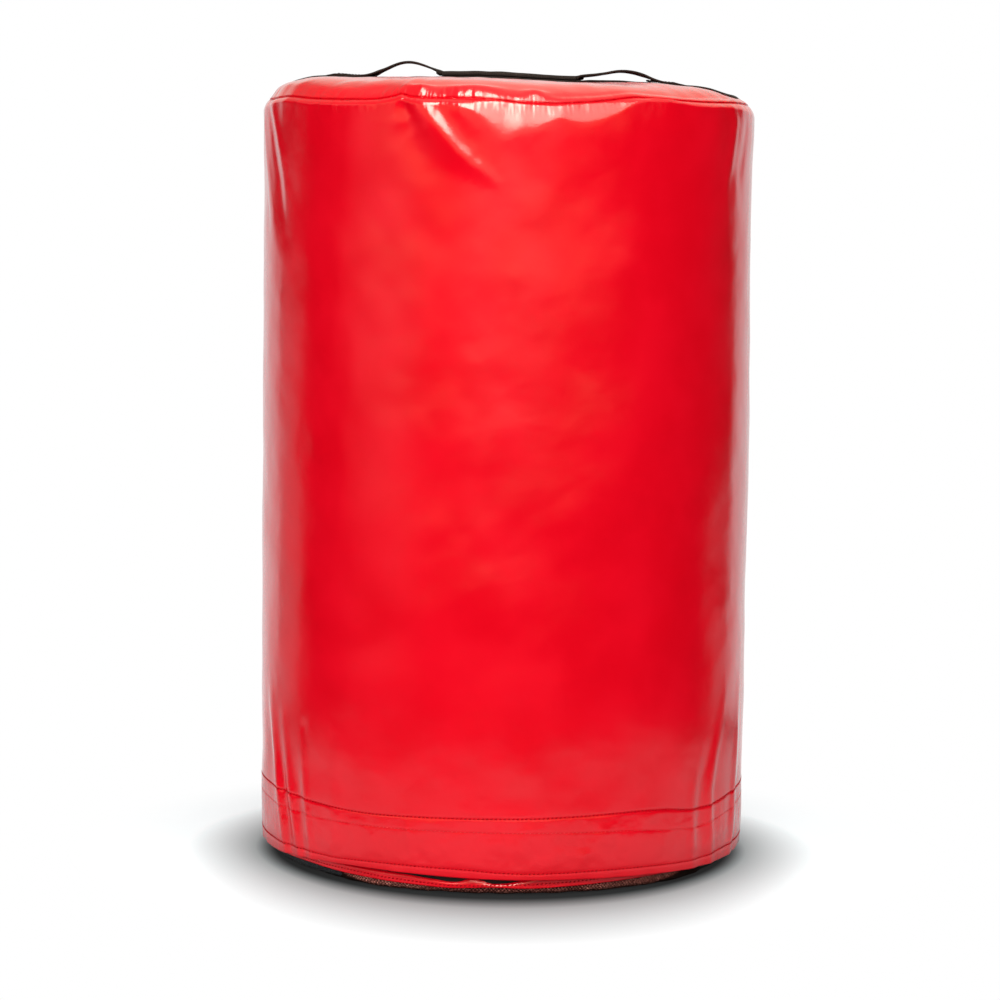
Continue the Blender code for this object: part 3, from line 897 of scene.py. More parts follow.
def lid_height(x, y):
    """The height of the lid's upper face over the floor, in mm."""
    angle = np.degrees(np.arctan2(x, -np.asarray(y, float)))
    rim, rim_height = lid_rim(angle)
    share = np.clip(np.hypot(x, y) / rim, 0, 1)
    inside = rim * (1 - share)
    aside = x * np.cos(np.radians(VIEW_TURN)) + y * np.sin(np.radians(VIEW_TURN))
    even = SEAM + LIP_UP + (rim_height - SEAM - LIP_UP) * share**8
    held = smooth_step(inside, 0, 9)
    lumps = 0.40 * pad_waves(x, y) + 0.12 * sheet_waves(x, y)
    height = even + line_through(inside, RISE_FROM_RIM) + held * (line_through(aside, LEAN) + lumps)
    for at, away, wide, deep, rise in BULGES:
        beside = arc(angle - at) * share / wide
        height = height + rise * np.exp(-(beside**2) - ((inside - away) / deep) ** 2)
    return height


print("the lid's crown:", round(lid_height(0.0, 0.0).item(), 1), "mm over the floor")

# %% The lid as a skin
LID_COLUMNS, LID_SPAN = 480, 227
# The edge that is turned down inside the wall, and up again
SKIRT_OUT, SKIRT_IN, SKIRT_DEEP = 1.1, 1.9, 15
lid_angles = all_round(LID_COLUMNS)
near_rim = np.array([62, 52, 43, 36, 30, 25, 21, 17.5, 14.5, 12, 10, 8, 6.5, 5, 4, 3, 2.2, 1.5, 0.9, 0.4, 0])
lid_shares = np.concatenate([np.linspace(0, 1 - near_rim[0] / LID_SPAN, 26)[1:-1], 1 - near_rim / LID_SPAN])


def lid_loop(angles, share, down=0.0):
    rim, _ = lid_rim(angles)
    point = around(angles, rim * share, 0) / MM
    height = lid_height(point[:, 0], point[:, 1])
    point[:, 2] = height - down
    return point * MM


def skirt_loop(angles, inward, level):
    inward = inward + groove(min(level, SEAM))
    return around(angles, wall_radius(angles, min(level, SEAM)) - inward, true_height(angles, level))


loops = [lid_loop(np.zeros(1), 0.0)] + [lid_loop(lid_angles, share) for share in lid_shares]
loops += [skirt_loop(lid_angles, 0.7, SEAM + 0.25)]
down, back_up = np.linspace(SEAM - 0.2, SEAM - SKIRT_DEEP, 8), np.linspace(SEAM - SKIRT_DEEP, SEAM - 1, 5)
loops += [skirt_loop(lid_angles[::2], SKIRT_OUT, level) for level in down]
loops += [skirt_loop(lid_angles[::2], SKIRT_IN, level) for level in back_up]
loops += [lid_loop(lid_angles[::2], share, SHEET) for share in lid_shares[::-2] if share < 0.985]
loops += [lid_loop(np.zeros(1), 0.0, SHEET)]
lid_panel = skin("lid_panel", loops, ring=False)
lid_levels = np.full(len(lid_panel.data.vertices), NO_LEVEL, np.float32)
from_rim = np.concatenate([[LID_SPAN], np.repeat((1 - lid_shares) * LID_SPAN, LID_COLUMNS)])
lid_levels[: len(from_rim)] = SEAM + from_rim
keep_values(lid_panel, "level", "FLOAT", lid_levels)
finished(lid_panel, red_sheet, "cover", ["top_panel"])
print("lid:", len(lid_panel.data.polygons), "faces")

# %% [markdown]
# ## The inner strip and the woven base
# The bag stands on a disc of coarse brown weave. A red strip is sewn round it and stands up
# inside the wall, where the hook-and-loop closure holds it. A dark slit shows between the
# wall's hem and the strip, because the strip stands a few millimetres further in and flares
# out only at its lower edge. Both edges wander, as they do on a bag that has been used.

# %% The inner strip
STRIP_EDGES = [
    (-68, 13.5), (-52, 11.5), (-43, 11.4), (-35, 10.0), (-29, 8.8), (-23, 8.2), (-12, 6.8), (-3, 6.0),
    (7, 7.6), (16, 6.8), (25, 8.0), (35, 9.4), (46, 10.5), (60, 10.5), (90, 8.5), (130, 5.5),
    (180, 5.2), (230, 5.8), (270, 8),
]
# The lower edge of the hook tape on it
HOOK_EDGES = [
    (-75, 18), (-33, 18), (-29, 17), (-22, 16.4), (-13, 15.3), (-7.5, 13.4), (0.8, 13.4), (2.2, 15.8),
    (3.4, 15.8), (4.6, 13.6), (13, 13.2), (16.5, 17), (60, 18), (150, 18), (230, 18),
]
STRIP_OUT, STRIP_TOP, STRIP_FLARE = 224.5, 75, 2.4
strip_waves = ripples(31, 30, 90)


def hook_low_edge(angle):
    return by_angle(angle, HOOK_EDGES)


def strip_radius(angles, height):
    """The strip flares out below the hook tape."""
    tape = hook_low_edge(angles)
    radius = STRIP_OUT + STRIP_FLARE * (1 - smooth_step(height, tape - 1.6, tape + 0.2))
    return radius + 0.35 * strip_waves(angles, height) * (1 - smooth_step(height, 12, 22))


def strip_loop(angles, share, inward):
    low = by_angle(angles, STRIP_EDGES)
    height = low + (STRIP_TOP - low) * share
    return around(angles, strip_radius(angles, height) - inward, height)


strip_shares = np.concatenate([np.linspace(0, 0.3, 26), np.linspace(0.3, 1, 8)[1:]])
loops = [strip_loop(fine[::2], share, 0) for share in strip_shares]
loops += [strip_loop(fine[::2], share, SHEET) for share in strip_shares[::-1]]
base_strip = skin("base_strip", loops)
finished(base_strip, red_sheet, "base", ["base_upstand"])
print("strip:", len(base_strip.data.polygons), "faces")

# %% [markdown]
# The base is a disc of coarse brown weave. It carries the whole bag, so it is pressed flat on
# the floor, and its rim turns up behind the red strip. Its lower edge is lumpy where the pad
# inside presses on it.


# %% The woven base
WEAVE_OUT, WEAVE_CORNER, WEAVE_RIM, WEAVE_THICK = 223.4, 7.0, 17.5, 0.8
# How far the edge draws back under the bag, by angle
TUCKED = [
    (-80, 9), (-56, 9), (-44, 8), (-35, 3), (-29, 0), (0, 0), (24, 0), (40, 0), (58, 0), (68, 3),
    (78, 8), (100, 9), (140, 5), (190, 3), (240, 6),
]
edge_lumps = ripples(32, 9, 40)


def weave_loop(angles, radius, height, inward=0.0, up=0.0):
    low = np.clip(1 - height / WEAVE_CORNER, 0, 1) * smooth_step(radius, 190, 221)
    strip_edge = by_angle(angles, STRIP_EDGES)
    swell = 0.8 * edge_lumps(angles, height) * smooth_step(radius, 190, 216)
    swell = swell * smooth_step(strip_edge - height, 0, 4)
    tucked = by_angle(angles, TUCKED) * smooth_step(radius, 150, 216)
    tucked = tucked * (1 - smooth_step(height, 4, WEAVE_RIM))
    height = height + up + np.maximum(0, 0.5 * edge_lumps(angles + 60, height)) * low
    return around(angles, radius - tucked + swell - inward, height)


turns = np.radians(np.linspace(0, 90, 9))
corner = [(WEAVE_OUT - WEAVE_CORNER * (1 - np.sin(t)), WEAVE_CORNER * (1 - np.cos(t))) for t in turns]
flat = [(r, 0.0) for r in np.linspace(0, WEAVE_OUT - WEAVE_CORNER, 26)[1:-1]]
rim = [(WEAVE_OUT, z) for z in np.linspace(WEAVE_CORNER, WEAVE_RIM, 5)[1:]]
outside = flat + corner + rim
angles = fine[::2]
loops = [weave_loop(np.zeros(1), 0.0, 0.0)] + [weave_loop(angles, r, z) for r, z in outside]
loops += [weave_loop(angles, r, z, WEAVE_THICK) for r, z in rim[::-1]]
loops += [weave_loop(angles, r, z, 0.55, 0.55) for r, z in corner[::-2]]
loops += [weave_loop(angles, r, z, 0.0, WEAVE_THICK) for r, z in flat[::-2]]
loops += [weave_loop(np.zeros(1), 0.0, 0.0, 0.0, WEAVE_THICK)]
base_weave = skin("base_weave", loops, ring=False)
print("woven base:", len(base_weave.data.polygons), "faces")


# %% The finish of the coarse weave
def weave_finish(name, dark, light, pitch):
    """A plain weave, with each thread over and under the next."""
    made, paint = new_material(name)
    x, y, z = paint.place().parts()
    along, _ = round_the_bag(paint)
    under = z.between(0.0008, 0.0030)
    first = x * (1 - under) + along * under
    second = y * (1 - under) + z * under
    cloth = first.sine(pitch) * second.sine(pitch) * 0.5 + 0.5
    fuzz = paint.noise(paint.place(), 420, 3, 0.7)
    dirt = paint.noise(paint.place(), 18, 3)
    specks = paint.noise(paint.place(), 620, 2, 0.8).between(0.50, 0.66)
    # Painted shadow near the floor: the weave's lowest few millimetres are painted darker, and away from the
    # plain face it is painted almost black up to 11 mm
    painted_shadow_height = along.between(-0.150, -0.095, 0.011, 0, smooth=False)
    painted_shadow_height = painted_shadow_height + along.between(0.195, 0.245, 0, 0.011, smooth=False)
    outside_painted_shadow = (z - painted_shadow_height).between(-0.001, 0.0025, 0.05, 1)
    shade = (cloth * 0.45 + fuzz * 0.4 + specks * 0.45 - dirt * 0.3) * outside_painted_shadow
    # The colour of the painted shadow
    black = tuple(c * 0.1 for c in dark)
    colour = paint.mix(outside_painted_shadow, black, paint.mix(shade.between(0.15, 0.90), dark, light))
    relief = bump(paint, cloth + fuzz * 0.5, 0.0005)
    dress(paint, Base_Color=colour, Roughness=0.92, Specular_IOR_Level=0.2, Normal=relief)
    return made


brown_weave = weave_finish("brown_weave", (0.070, 0.012, 0.009), (0.90, 0.310, 0.240), 0.0034)
finished(base_weave, brown_weave, "base", ["base_panel"])
print("the base is woven")

# %% [markdown]
# ## The hook-and-loop closure
# Inside the hem there is a band of loop tape, sewn along the two rows of stitches. Its
# counterpart, a band of hook tape, runs round the strip. They are seen once the cover is off.
# Loops are a soft felt, and hooks a fine grid of stiff hairs.


# %% The two bands
TAPE_LOW, TAPE_HIGH, HOOK_FACE = 23.2, 72.8, 225.8


def band(name, outer, thickness, low_edge, high=TAPE_HIGH, columns=240, rows=7):
    """A closed band, whose outer face and lower edge are functions of the angle, in mm."""
    angles = all_round(columns)
    rounded = np.array([0.3] + [0] * (rows - 2) + [0.3])
    heights = [low_edge(angles) + (high - low_edge(angles)) * share for share in np.linspace(0, 1, rows)]
    out = [around(angles, outer(angles, h) - r, h) for h, r in zip(heights, rounded)]
    back = [around(angles, outer(angles, h) - thickness + r, h) for h, r in zip(heights, rounded)]
    return skin(name, out + back[::-1])


def loop_face(angle, height):
    return np.clip(wall_radius(angle, height) - 2 * SHEET - 0.25, 227.3, 230.6)


def hook_face(angle, height):
    return HOOK_FACE + 0 * angle


loop_band = band("loop_band", loop_face, 1.1, lambda angle: TAPE_LOW + 0 * angle)
hook_band = band("hook_band", hook_face, 0.9, hook_low_edge, columns=480)
print("bands:", len(loop_band.data.polygons), "and", len(hook_band.data.polygons), "faces")


# %% The finish of the tapes
def tape_finish(name, colour, pitch, depth):
    made, paint = new_material(name)
    along, up = round_the_bag(paint)
    dots = along.sine(pitch) * up.sine(pitch) * 0.5 + 0.5
    felt = paint.noise(paint.place(), 900, 3, 0.7)
    edge = (up - 0.048).maths("ABSOLUTE").between(0.0225, 0.0235)
    pile = (dots * 0.5 + felt * 0.8) * (1 - edge)
    dark = tuple(c * 0.45 for c in colour)
    dress(
        paint,
        Base_Color=paint.mix(pile.between(0.2, 1.0), dark, colour),
        Roughness=0.85,
        Normal=bump(paint, pile, depth),
    )
    return made


black_loops = tape_finish("black_loop_tape", (0.034, 0.033, 0.034), 0.0024, 0.0005)
finished(loop_band, black_loops, "cover", ["loop_tape"])
black_hooks = tape_finish("black_hook_tape", (0.030, 0.030, 0.033), 0.0016, 0.0004)
finished(hook_band, black_hooks, "base", ["hook_tape"])
print("the closure is in place")

# %% [markdown]
# ## Webbing
# Webbing is a thick flat ribbon with rounded edges. It is drawn as cross-sections along a path.
# Each point also keeps its place on the flat ribbon, along and across, in metres. The weave is
# drawn from that, so it follows every bend and fold.


# %% A ribbon from its cross-sections
WEB_WIDTH, WEB, OVER_LID = 38.0, 1.8, 0.3


def ribbon(name, centres, outs, flat_along, flat_across, thickness):
    """A closed ribbon in mm. The first two give each point of its middle layer, and the way out of it."""
    rows, across = centres.shape[:2]
    loops, marks = [], []
    edge = np.clip((WEB_WIDTH / 2 - np.abs(flat_across)) / (WEB * 0.45), 0, 1)
    for i in range(rows):
        half = np.broadcast_to(thickness, rows)[i] / 2 * np.sqrt(1 - (1 - edge) ** 2 * 0.8)
        top = centres[i] + outs[i] * half[:, None]
        low = centres[i] - outs[i] * half[:, None]
        loops.append(np.concatenate([top, low[::-1]]) * MM)
        along = np.full(2 * across, flat_along[i])
        side = np.concatenate([flat_across, flat_across[::-1]])
        face = np.concatenate([np.ones(across), -np.ones(across)])
        marks.append(np.stack([along * MM, side * MM, face], -1))
    ends = [loops[0].mean(0)], [loops[-1].mean(0)]
    loops = [ends[0]] + loops + [ends[1]]
    marks = [marks[0][:1]] + marks + [marks[-1][:1]]
    made = skin(name, loops, ring=False)
    keep_values(made, "on_ribbon", "FLOAT_VECTOR", np.concatenate(marks))
    return made


def across_ribbon():
    """Places across a ribbon, closer together at its edges."""
    inner = np.linspace(-WEB_WIDTH / 2 + 1.6, WEB_WIDTH / 2 - 1.6, 21)
    edge = np.array([0, 0.15, 0.5, 1.0])
    return np.concatenate([-WEB_WIDTH / 2 + edge, inner, (WEB_WIDTH / 2 - edge)[::-1]])


def over_lid(x, across, rise):
    """Points at a height over the lid, along X and across it, with the way out of the lid."""
    x, across = np.broadcast_arrays(np.asarray(x, float), across)
    step = 0.5
    z = lid_height(x, across)
    slope_x = (lid_height(x + step, across) - lid_height(x - step, across)) / (2 * step)
    slope_y = (lid_height(x, across + step) - lid_height(x, across - step)) / (2 * step)
    out = unit(np.stack([-slope_x, -slope_y, np.ones_like(z)], -1))
    return np.stack([x, across, z], -1) + out * rise, out


print("ribbons are drawn from cross-sections")

# %% The webbing across the lid
def ends_thinned(x):
    """The share of the webbing's thickness that is left where its ends are pulled into the seam."""
    return 1 - 0.6 * smooth_step(np.abs(x), 190, 216)


def slack_over_lid(x):
    """How far the webbing stands off the lid: a little beside the grip, and less than nothing at the seam."""
    beside_grip = 0.9 * smooth_step(x, 68, 80) * (1 - smooth_step(x, 108, 124))
    return beside_grip - 1.3 * smooth_step(np.abs(x), 211, 222)


places = across_ribbon()
REACH, CLOSER_FROM = 224.4, 212
left_end = np.linspace(-REACH, -CLOSER_FROM, 14)[:-1]
right_end = np.linspace(CLOSER_FROM, REACH, 14)[1:]
steps = np.concatenate([left_end, np.linspace(-CLOSER_FROM, CLOSER_FROM, 106), right_end])
centres, outs = [], []
for x in steps:
    # The rim is round, so the ribbon's outer lines reach it earlier than its middle one
    shrink = np.sqrt(1 - (places / REACH) ** 2)
    rise = OVER_LID + WEB / 2 * ends_thinned(x) + slack_over_lid(x)
    point, out = over_lid(x * shrink, places, rise)
    centres.append(point)
    outs.append(out)
middle_line = np.array([c[len(places) // 2] for c in centres])
run = run_along(middle_line)
left_over = ends_thinned(middle_line[:, 0])
lid_webbing = ribbon("lid_webbing", np.array(centres), np.array(outs), run, places, WEB * left_over)
print("webbing over the lid:", round(run[-1]), "mm long")


# %% [markdown]
# The handle is a second length of the same webbing. Its two ends lie flat and are sewn down. In
# between it is folded lengthwise, so that it fits a hand, and there it lies on the lid. The
# spare length stands up as a small arch on each side.


# %% The handle's cross-section
# How far from the ribbon's middle its fold begins, and the length that the fold takes up
FOLD_FROM, FOLD_LONG = 10.1, 2.83


def folded_section(fold, room, loose=0.0):
    """The ribbon's section with its edges folded under, as (across, up) and the way out.

    fold goes from 0, flat, to 1, folded into two layers. room is the height that the folded
    edge may take below it, and loose is how far apart the two layers stay.
    """
    bend_at, bend_long = FOLD_FROM - loose, (FOLD_LONG + np.pi / 2 * loose) * (1 + 2.5 * (1 - fold))
    count = 400
    s = np.linspace(0, WEB_WIDTH / 2, count)
    turn = np.pi * fold * np.clip((s - bend_at) / bend_long, 0, 1)
    y = np.concatenate([[0], np.cumsum(np.cos(turn)[:-1])]) * (s[1] - s[0])
    z = -np.concatenate([[0], np.cumsum(np.sin(turn)[:-1])]) * (s[1] - s[0])
    here = np.abs(places)
    side = np.sign(places)
    lift = np.interp(here, s, z)
    angle = np.interp(here, s, turn)
    floor = -max(room, WEB)
    lift = np.where(lift < floor, floor + (lift - floor) * 0.05, lift)
    return np.interp(here, s, y) * side, lift, np.sin(angle) * side, np.cos(angle)


PIVOT, GRIP_END = 128.0, 64.5
DECK = OVER_LID + WEB + 0.1
# Per side: where the foot ends, and how high the slack stands, as (distance from the middle, rise)
FOOT_ENDS = {-1: 174.0, 1: 168.0}
ARCHES = {
    -1: [
        (64.5, 0), (72.7, 3.5), (78.5, 6.2), (84.3, 8.9), (90.2, 11.4), (96, 12.9), (101.8, 12.9),
        (107.6, 11.6), (113.4, 9.4), (119.2, 6.9), (125.1, 4.6), (130.9, 2.0), (136.7, 0.5),
        (142.5, 0), (174, 0),
    ],
    1: [
        (64.5, 0), (70.8, 1.3), (80.5, 3.5), (90.2, 6.0), (99.9, 8.3), (109.5, 8.9), (119.2, 7.8),
        (128.9, 5.2), (138.6, 2.1), (148.3, 0.2), (155, 0), (168, 0),
    ],
}
GRIP_SLACK = [(-128, 0), (-100, 0.4), (-64.5, 1.1), (-20, 1.2), (20, 0.9), (50, 0.6), (64.5, 0.8), (128, 0)]
TWIST = np.tan(np.radians(VIEW_TURN))


def handle_ribbon(name, xs, side):
    """A stretch of the handle through places along X: the left one, the right one or, with 0, the grip."""
    share = np.clip((PIVOT - np.abs(xs)) / (PIVOT - GRIP_END), 0, 1)
    loose = line_through(xs, GRIP_SLACK)
    lift = line_through(np.abs(xs), ARCHES[side]) if side else 0 * xs
    # It rises to the height of two layers before its edges fold under
    stacked = (WEB + loose) * smooth_step(share, 0.45, 1.0)
    fold = smooth_step(share, 0.93, 1.0)
    # The sewn end is pressed thin, so that it meets the webbing below it without a step
    pressed = smooth_step(np.abs(xs), FOOT_ENDS[side] - 9, FOOT_ENDS[side]) * 0.8 if side else 0 * xs
    bend_of_line = [over_lid(x, 0.0, 0)[0][2] for x in xs] + lift + DECK + stacked
    bend_of_line = bend_of_line + WEB / 2 * (1 - pressed) - 0.1 * pressed
    slope = np.gradient(bend_of_line, xs)
    centres, outs = [], []
    for i, x in enumerate(xs):
        y, z, out_y, out_z = folded_section(fold[i], WEB + loose[i], loose[i])
        up = np.array([-slope[i], 0, 1]) / np.hypot(slope[i], 1)
        lid = over_lid(x, y, 0)[0][:, 2] - over_lid(x, 0.0, 0)[0][2]
        # The arches are twisted a little, so that from the camera they are seen on edge
        turned_x = x - y * TWIST * min(lift[i] / 6, 1)
        centres.append(np.stack([turned_x, y, bend_of_line[i] + lid], -1) + z[:, None] * up)
        outs.append(np.stack([out_z * up[0], out_y, out_z * up[2]], -1))
    run = run_along(np.stack([xs, bend_of_line], -1))
    return ribbon(name, np.array(centres), np.array(outs), run, places, WEB * (1 - pressed))


def leg_places(side):
    """Places along X from the foot's end to the grip, close together where the ribbon bends."""
    foot = np.linspace(FOOT_ENDS[side], PIVOT, 22)[:-1]
    return side * np.concatenate([foot, np.linspace(PIVOT, GRIP_END, 60)])


handle_left = handle_ribbon("handle_left", leg_places(-1), -1)
handle_right = handle_ribbon("handle_right", leg_places(1)[::-1], 1)
handle_grip_webbing = handle_ribbon("handle_grip_webbing", np.linspace(-GRIP_END, GRIP_END, 60), 0)
print("handle:", [len(o.data.polygons) for o in (handle_left, handle_grip_webbing, handle_right)], "faces")


# %% The finish of the black webbing
def webbing_finish(name):
    """Ribs across the ribbon, each a row of small slanted threads, and a plain selvedge."""
    made, paint = new_material(name)
    on_ribbon = paint.node("Attribute", {"attribute_name": "on_ribbon"}, {}, "Vector")
    along, across, _ = on_ribbon.parts()
    zigzag = across.sine(0.0095) * 0.0007
    ribs = (along + zigzag).sine(0.0017) * 0.5 + 0.5
    threads = across.sine(0.0011) * 0.5 + 0.5
    fuzz = paint.noise(paint.place(), 700, 3, 0.7)
    relief_height = ribs * 0.6 + threads * 0.3 + fuzz * 0.3
    worn = paint.noise(paint.place(), 40, 3).between(0.45, 0.75)
    base = paint.mix(relief_height.between(0.2, 1.1), (0.004, 0.003, 0.0025), (0.026, 0.017, 0.014))
    colour = paint.mix(worn * 0.4, base, (0.040, 0.028, 0.023))
    relief = bump(paint, relief_height, 0.00035)
    dress(paint, Base_Color=colour, Roughness=0.8, Specular_IOR_Level=0.12, Normal=relief)
    return made


black_webbing = webbing_finish("black_webbing")
finished(lid_webbing, black_webbing, "cover", ["lid_strap"])
finished(handle_grip_webbing, black_webbing, "handle", ["handle_grip"])
for side, piece, nodes in (
    (-1, handle_left, ["handle_foot_left", "handle_leg_left"]),
    (1, handle_right, ["handle_foot_right", "handle_leg_right"]),
):
    finished(piece, black_webbing, None, nodes)
    ends = [Vector((side * x * MM, 0, 0.745)) for x in (PIVOT, GRIP_END)]
    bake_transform(piece)
print("the webbing is dressed")

# %% [markdown]
# ## The foam fill
# Such a bag is filled with a firm core of chip foam, a softer layer round it, a soft disc
# that gives the lid its crown, and a firm disc under the bag. They are seen when the cover is
# lifted off. Foam cut with a knife has slightly rounded edges and faces that are not quite
# flat, so each block is drawn with both.


# %% Foam blocks
def foam_profile(outer, bottom, top, inner=0.0, corner=4.0):
    """A block's outline from its inner lower edge round to its inner upper edge, as (radius, height)."""
    turn = np.radians(np.linspace(0, 90, 6))
    low = [(outer - corner * (1 - np.sin(t)), bottom + corner * (1 - np.cos(t))) for t in turn]
    high = [(outer - corner * (1 - np.cos(t)), top - corner * (1 - np.sin(t))) for t in turn]
    levels = np.linspace(bottom + corner, top - corner, max(3, int((top - bottom) / 12)))
    side = [(outer, z) for z in levels[1:-1]]
    floor = [(r, bottom) for r in np.linspace(inner, outer - corner, 14)[:-1]]
    roof = [(r, top) for r in np.linspace(outer - corner, inner, 14)[1:]]
    return floor + low + side + high + roof


def foam_block(name, profile, seed, columns=180, give=1.0):
    """A block turned from its outline, its faces sunk here and there by up to about give mm."""
    sunk = ripples(seed, 60, 200, 24)
    dips = flat_waves(seed + 1, 60, 160, 16)
    angles = all_round(columns)
    loops = []
    for radius, height in profile:
        if radius == 0:
            loops.append(np.array([[0, 0, height * MM]]))
            continue
        x, y = radius * np.sin(np.radians(angles)), -radius * np.cos(np.radians(angles))
        inward = give * (0.5 + 0.4 * np.clip(sunk(angles, height), -1.2, 1.2))
        middle = (profile[0][1] + profile[-1][1]) / 2
        level = give * 0.5 * (0.5 + 0.4 * np.clip(dips(x, y), -1.2, 1.2))
        height = height - np.sign(height - middle) * level
        loops.append(around(angles, radius - inward, height))
    return skin(name, loops, ring=profile[0][0] > 0)


FILL_LOW, FILL_TOP, CORE_OUT, WRAP_OUT, PAD_OUT, PAD_LOW = 77.4, 686.3, 150, 225.3, 222.0, 1.5
core_foam = foam_block("core_foam", foam_profile(CORE_OUT, FILL_LOW, FILL_TOP, corner=3), 41)
wrap_profile = foam_profile(WRAP_OUT, FILL_LOW, FILL_TOP, inner=CORE_OUT + 1.2, corner=6)
wrap_foam = foam_block("wrap_foam", wrap_profile, 43, give=0.8)
pad_profile = foam_profile(PAD_OUT, PAD_LOW, FILL_LOW - 0.5, corner=6)
floor_pad = foam_block("floor_pad", pad_profile, 45, give=0.7)
under = [(r, FILL_TOP + 0.6) for r in np.linspace(0, 221, 14)]
rim_side = [(222.8, 688.2), (224.0, 692.0), (224.2, 700.0), (224.2, 709.0)]
# The pad's top follows the lid's, a few millimetres below it
crown_shares = np.concatenate([np.linspace(1, 0.3, 8)[:-1], np.linspace(0.3, 0, 26)])
crown_top = [(222.5 * s, 713.0 + line_through(226.0 * (1 - s), RISE_FROM_RIM)) for s in crown_shares]
crown_pad = foam_block("crown_pad", under + rim_side + crown_top + [(0, 736.6)], 47, give=0.5)
print("foam:", [len(o.data.polygons) for o in (core_foam, wrap_foam, floor_pad, crown_pad)], "faces")


# %% The finishes of the foams
def foam_finish(name, dark, light, cell, chips=None):
    """Open foam cells, and for chip foam pressed scraps of several colours."""
    made, paint = new_material(name)
    where = paint.place()
    cells = paint.node("TexVoronoi", {"feature": "F1"}, {"Vector": where, "Scale": cell}, "Distance")
    cloud = paint.noise(where, 9, 3)
    colour = paint.mix(cells.between(0.1, 0.6) * 0.7 + cloud * 0.3, light, dark)
    relief = cells
    if chips:
        stir = paint.noise(where, 30, 2) * 0.02
        stirred = paint.vector(stir, stir, stir)
        moved = paint.node("VectorMath", {"operation": "ADD"}, {0: where, 1: stirred})
        pieces = {"Vector": moved, "Scale": 75}
        scraps = paint.node("TexVoronoi", {"feature": "F1"}, pieces, "Color")
        joints = paint.node("TexVoronoi", {"feature": "DISTANCE_TO_EDGE"}, pieces, "Distance")
        pick = scraps.parts()[0]
        tint = chips[0]
        for i, chip in enumerate(chips[1:], 1):
            tint = paint.mix((pick - i / len(chips)) * 1000, tint, chip)
        scrap = paint.mix(cells.between(0.1, 0.6) * 0.5, tint, colour)
        colour = paint.mix(joints.between(0, 0.12), dark, scrap)
        relief = cells * 0.5 + joints.between(0, 0.2)
    pores = bump(paint, relief, 0.0008)
    dress(paint, Base_Color=colour, Roughness=0.95, Specular_IOR_Level=0.15, Normal=pores)
    return made


SCRAPS = [
    (0.30, 0.36, 0.42), (0.55, 0.55, 0.50), (0.12, 0.20, 0.34),
    (0.45, 0.30, 0.16), (0.20, 0.30, 0.24), (0.08, 0.08, 0.09),
]
chip_foam = foam_finish("chip_foam", (0.10, 0.11, 0.12), (0.36, 0.39, 0.40), 700, SCRAPS)
white_foam = foam_finish("white_foam", (0.52, 0.47, 0.34), (0.76, 0.72, 0.58), 520)
dark_foam = foam_finish("dark_foam", (0.025, 0.025, 0.028), (0.085, 0.085, 0.090), 640)
finished(core_foam, chip_foam, "foam", ["foam_core"])
finished(wrap_foam, white_foam, "foam", ["foam_wrap"])
finished(crown_pad, white_foam, "foam", ["foam_top_disc"])
finished(floor_pad, dark_foam, "foam", ["foam_base_disc"])
print("four foam pieces")

# %% [markdown]
# ## Stitches
# A lockstitch shows as a row of short threads, each a little arched, with both ends pulled down
# into the sheet. One is modelled: a six-sided rod, cut twice across, its ends pressed down and
# made thinner. The rows are copies of it, turned to follow the sheet.


# %% One stitch
def pick(piece, test):
    """Selects the points of a mesh in edit mode by their place."""
    mesh = bmesh.from_edit_mesh(piece.data)
    for point in mesh.verts:
        point.select = test(point.co)
    mesh.select_flush(True)
    mesh.select_flush(False)
    bmesh.update_edit_mesh(piece.data)


STITCH, THREAD = 0.0025, 0.00060
bpy.ops.object.select_all(action="DESELECT")
bpy.ops.mesh.primitive_cylinder_add(vertices=6, radius=THREAD, depth=STITCH, rotation=(0, np.pi / 2, 0))
stitch = bpy.context.object
bpy.ops.object.transform_apply(rotation=True)
bpy.ops.object.mode_set(mode="EDIT")
for cut in (-0.0008, 0.0008):
    bpy.ops.mesh.select_all(action="SELECT")
    bpy.ops.mesh.bisect(plane_co=(cut, 0, 0), plane_no=(1, 0, 0))
pick(stitch, lambda co: abs(co.x) > 0.0011)
bpy.ops.transform.translate(value=(0, 0, -0.00045))
bpy.ops.transform.resize(value=(1, 0.6, 0.6))
bpy.ops.object.mode_set(mode="OBJECT")
print("one stitch:", len(stitch.data.polygons), "faces")


# %% Rows of stitches
def rows_of(name, places, runs, outs, seed, sink=0.05, size=1.0, slant=0.3):
    """Copies of the stitch at places in mm, along their runs, with their way out of the sheet."""
    chance = np.random.default_rng(seed)
    points = np.array([v.co for v in stitch.data.vertices]) / MM * size
    faces = [tuple(p.vertices) for p in stitch.data.polygons]
    runs = unit(runs)
    sides = unit(np.cross(outs, runs))
    tilt = slant + chance.normal(0, 0.06, len(places))[:, None]
    along = runs * np.cos(tilt) + sides * np.sin(tilt)
    beside = np.cross(outs, along)
    grown = 1 + chance.normal(0, 0.04, len(places))[:, None, None]
    made = places[:, None] - outs[:, None] * sink + grown * (
        points[None, :, :1] * along[:, None] + points[None, :, 1:2] * beside[:, None]
    )
    made = made + points[None, :, 2:] * outs[:, None]
    count = len(points)
    every = [tuple(i * count + v for v in face) for i in range(len(places)) for face in faces]
    return closed(name, made.reshape(-1, 3) * MM, every)


def sewn_round(name, surface, seed, **more):
    """A row right round the bag on a surface, which gives points in metres for angles."""
    count = int(2 * np.pi * RADIUS / STITCH_PITCH)
    angles = all_round(count)
    here = surface(angles, 0) / MM
    runs = surface(angles + 0.2, 0) / MM - surface(angles - 0.2, 0) / MM
    ups = surface(angles, 0.4) / MM - surface(angles, -0.4) / MM
    return rows_of(name, here, runs, unit(np.cross(runs, ups)), seed, **more)


def on_wall(level):
    return lambda angles, up: wall_loop(angles, level + up)


